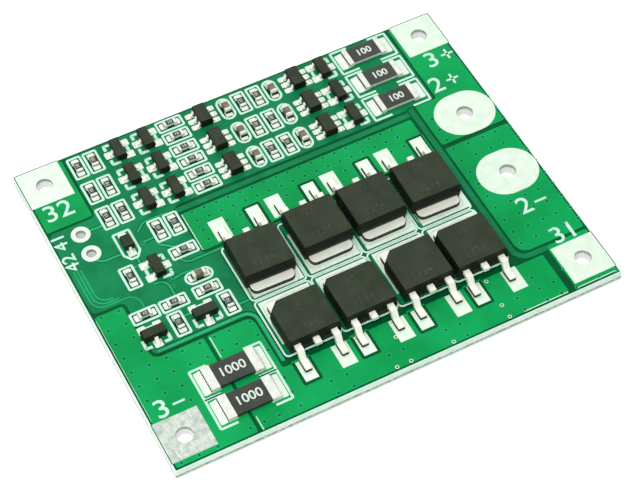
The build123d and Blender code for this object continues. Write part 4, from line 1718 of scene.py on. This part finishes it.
# %% [markdown]
# ## Marks that a person reads
#
# Plain numbers and signs stand by the wire lands. Letters are curves, so a text object is
# turned to a mesh, set to a height and laid on the print's level.

# %% Numbers by the wire lands
CAPITAL_SHARE = 0.7
LETTER_STEPS = 4


def text_mesh(words, spot, height, turn, base, thick, weight=0.0, wide=1.0):
    """Plain characters as a mesh, centred on a spot and turned about it."""
    curve = bpy.data.curves.new("words", "FONT")
    curve.body = words
    curve.align_x = "CENTER"
    curve.align_y = "CENTER"
    curve.size = height / CAPITAL_SHARE
    curve.extrude = thick / 2
    curve.offset = weight
    curve.resolution_u = LETTER_STEPS
    thing = bpy.data.objects.new("words", curve)
    bpy.context.scene.collection.objects.link(thing)
    mesh = to_mesh(thing)
    place = Matrix.Translation((spot[0], spot[1], base + thick / 2))
    turned = Matrix.Rotation(math.radians(turn), 4, "Z")
    mesh.transform(Matrix.Scale(MM, 4) @ place @ turned @ Matrix.Diagonal((wide, 1.0, 1.0, 1.0)))
    return mesh


NUMBER_WEIGHT = 0.02
NUMBER_WIDE = 1.1
SIGN_LINE = 0.27
LAND_NUMBERS = (
    ("3", (24.55, 15.3), 2.3, 0),
    ("2", (23.1, 11.5), 2.3, 0),
    ("2", (23.05, -9.3), 2.3, 0),
    ("31", (25.1, -14.75), 2.25, 0),
    ("3", (-25.95, -14.75), 2.3, 0),
    ("32", (-25.2, 15.3), 2.35, 0),
    ("41", (-26.8, 11.1), 1.6, 90),
    ("42", (-26.8, 7.85), 1.6, 90),
)
SIGNS = (
    [(25.9, 15.4), (27.5, 15.4)], [(26.7, 14.6), (26.7, 16.2)],
    [(24.5, 11.6), (26.1, 11.6)], [(25.3, 10.8), (25.3, 12.4)],
    [(24.35, -9.35), (25.9, -9.35)], [(-24.65, -14.7), (-23.2, -14.7)],
)
marks = [text_mesh(*row, PRINT_BASE, PRINT_HEIGHT, NUMBER_WEIGHT, NUMBER_WIDE) for row in LAND_NUMBERS]
marks.append(lines(SIGNS, SIGN_LINE, PRINT_HEIGHT, FINE_TURN, PRINT_BASE, PRINT_INK))
finished_from("land_marks", marks, PRINT_INK)

# %% [markdown]
# ## Numbers on the parts
#
# The resistors carry a bright plain number along their length. The power transistors carry
# two faint ones, as from a laser. Their tops were lowered by the height of these marks, so
# the marks end where the CAD model does and the board is no higher than its drawing.

# %% Numbers on resistors and power transistors
INK_DEPTH = 0.006
VALUE_MARKS = (
    ("shunt_", "_body", "1000", 1.15, 0.02),
    ("balance_resistor_", "_body", "100", 0.95, 0.03),
    ("chip_resistor_bodies", "", "10", 0.42, 0.0),
)
FAINT_MARKS = (("12", 1.5, 0.85), ("1234", -1.6, 0.95))
FAINT_SHIFT = -0.3
FAINT_WEIGHT = -0.02


def top_marks(start, end, words, height, weight):
    """The same number on top of each part of some nodes, along its length."""
    found = []
    for low, high in [box for name in named(start, end) for box in islands(name)]:
        turn = 0 if high.x - low.x > high.y - low.y else 90
        found.append(text_mesh(words, middle((low, high)), height, turn, high.z, INK_DEPTH, weight))
    return found


def faint_pair(name):
    """The two faint numbers that stand on the lowered top of a power transistor."""
    low, high = islands(name)[0]
    base = high.z - MARK_DEPTH
    found = []
    for words, along, height in FAINT_MARKS:
        place = middle((low, high)) + Vector((FAINT_SHIFT, along, 0.0))
        found.append(text_mesh(words, place, height, 0, base, MARK_DEPTH, FAINT_WEIGHT))
    return found


value_marks = [mark for row in VALUE_MARKS for mark in top_marks(*row)]
finished_from("value_marks", value_marks, MARK_INK)
faint_marks = [mark for name in named("mosfet_", "_body") for mark in faint_pair(name)]
finished_from("faint_marks", faint_marks, FAINT_MARK)
print("marks:", len(value_marks), "bright,", len(faint_marks), "faint")
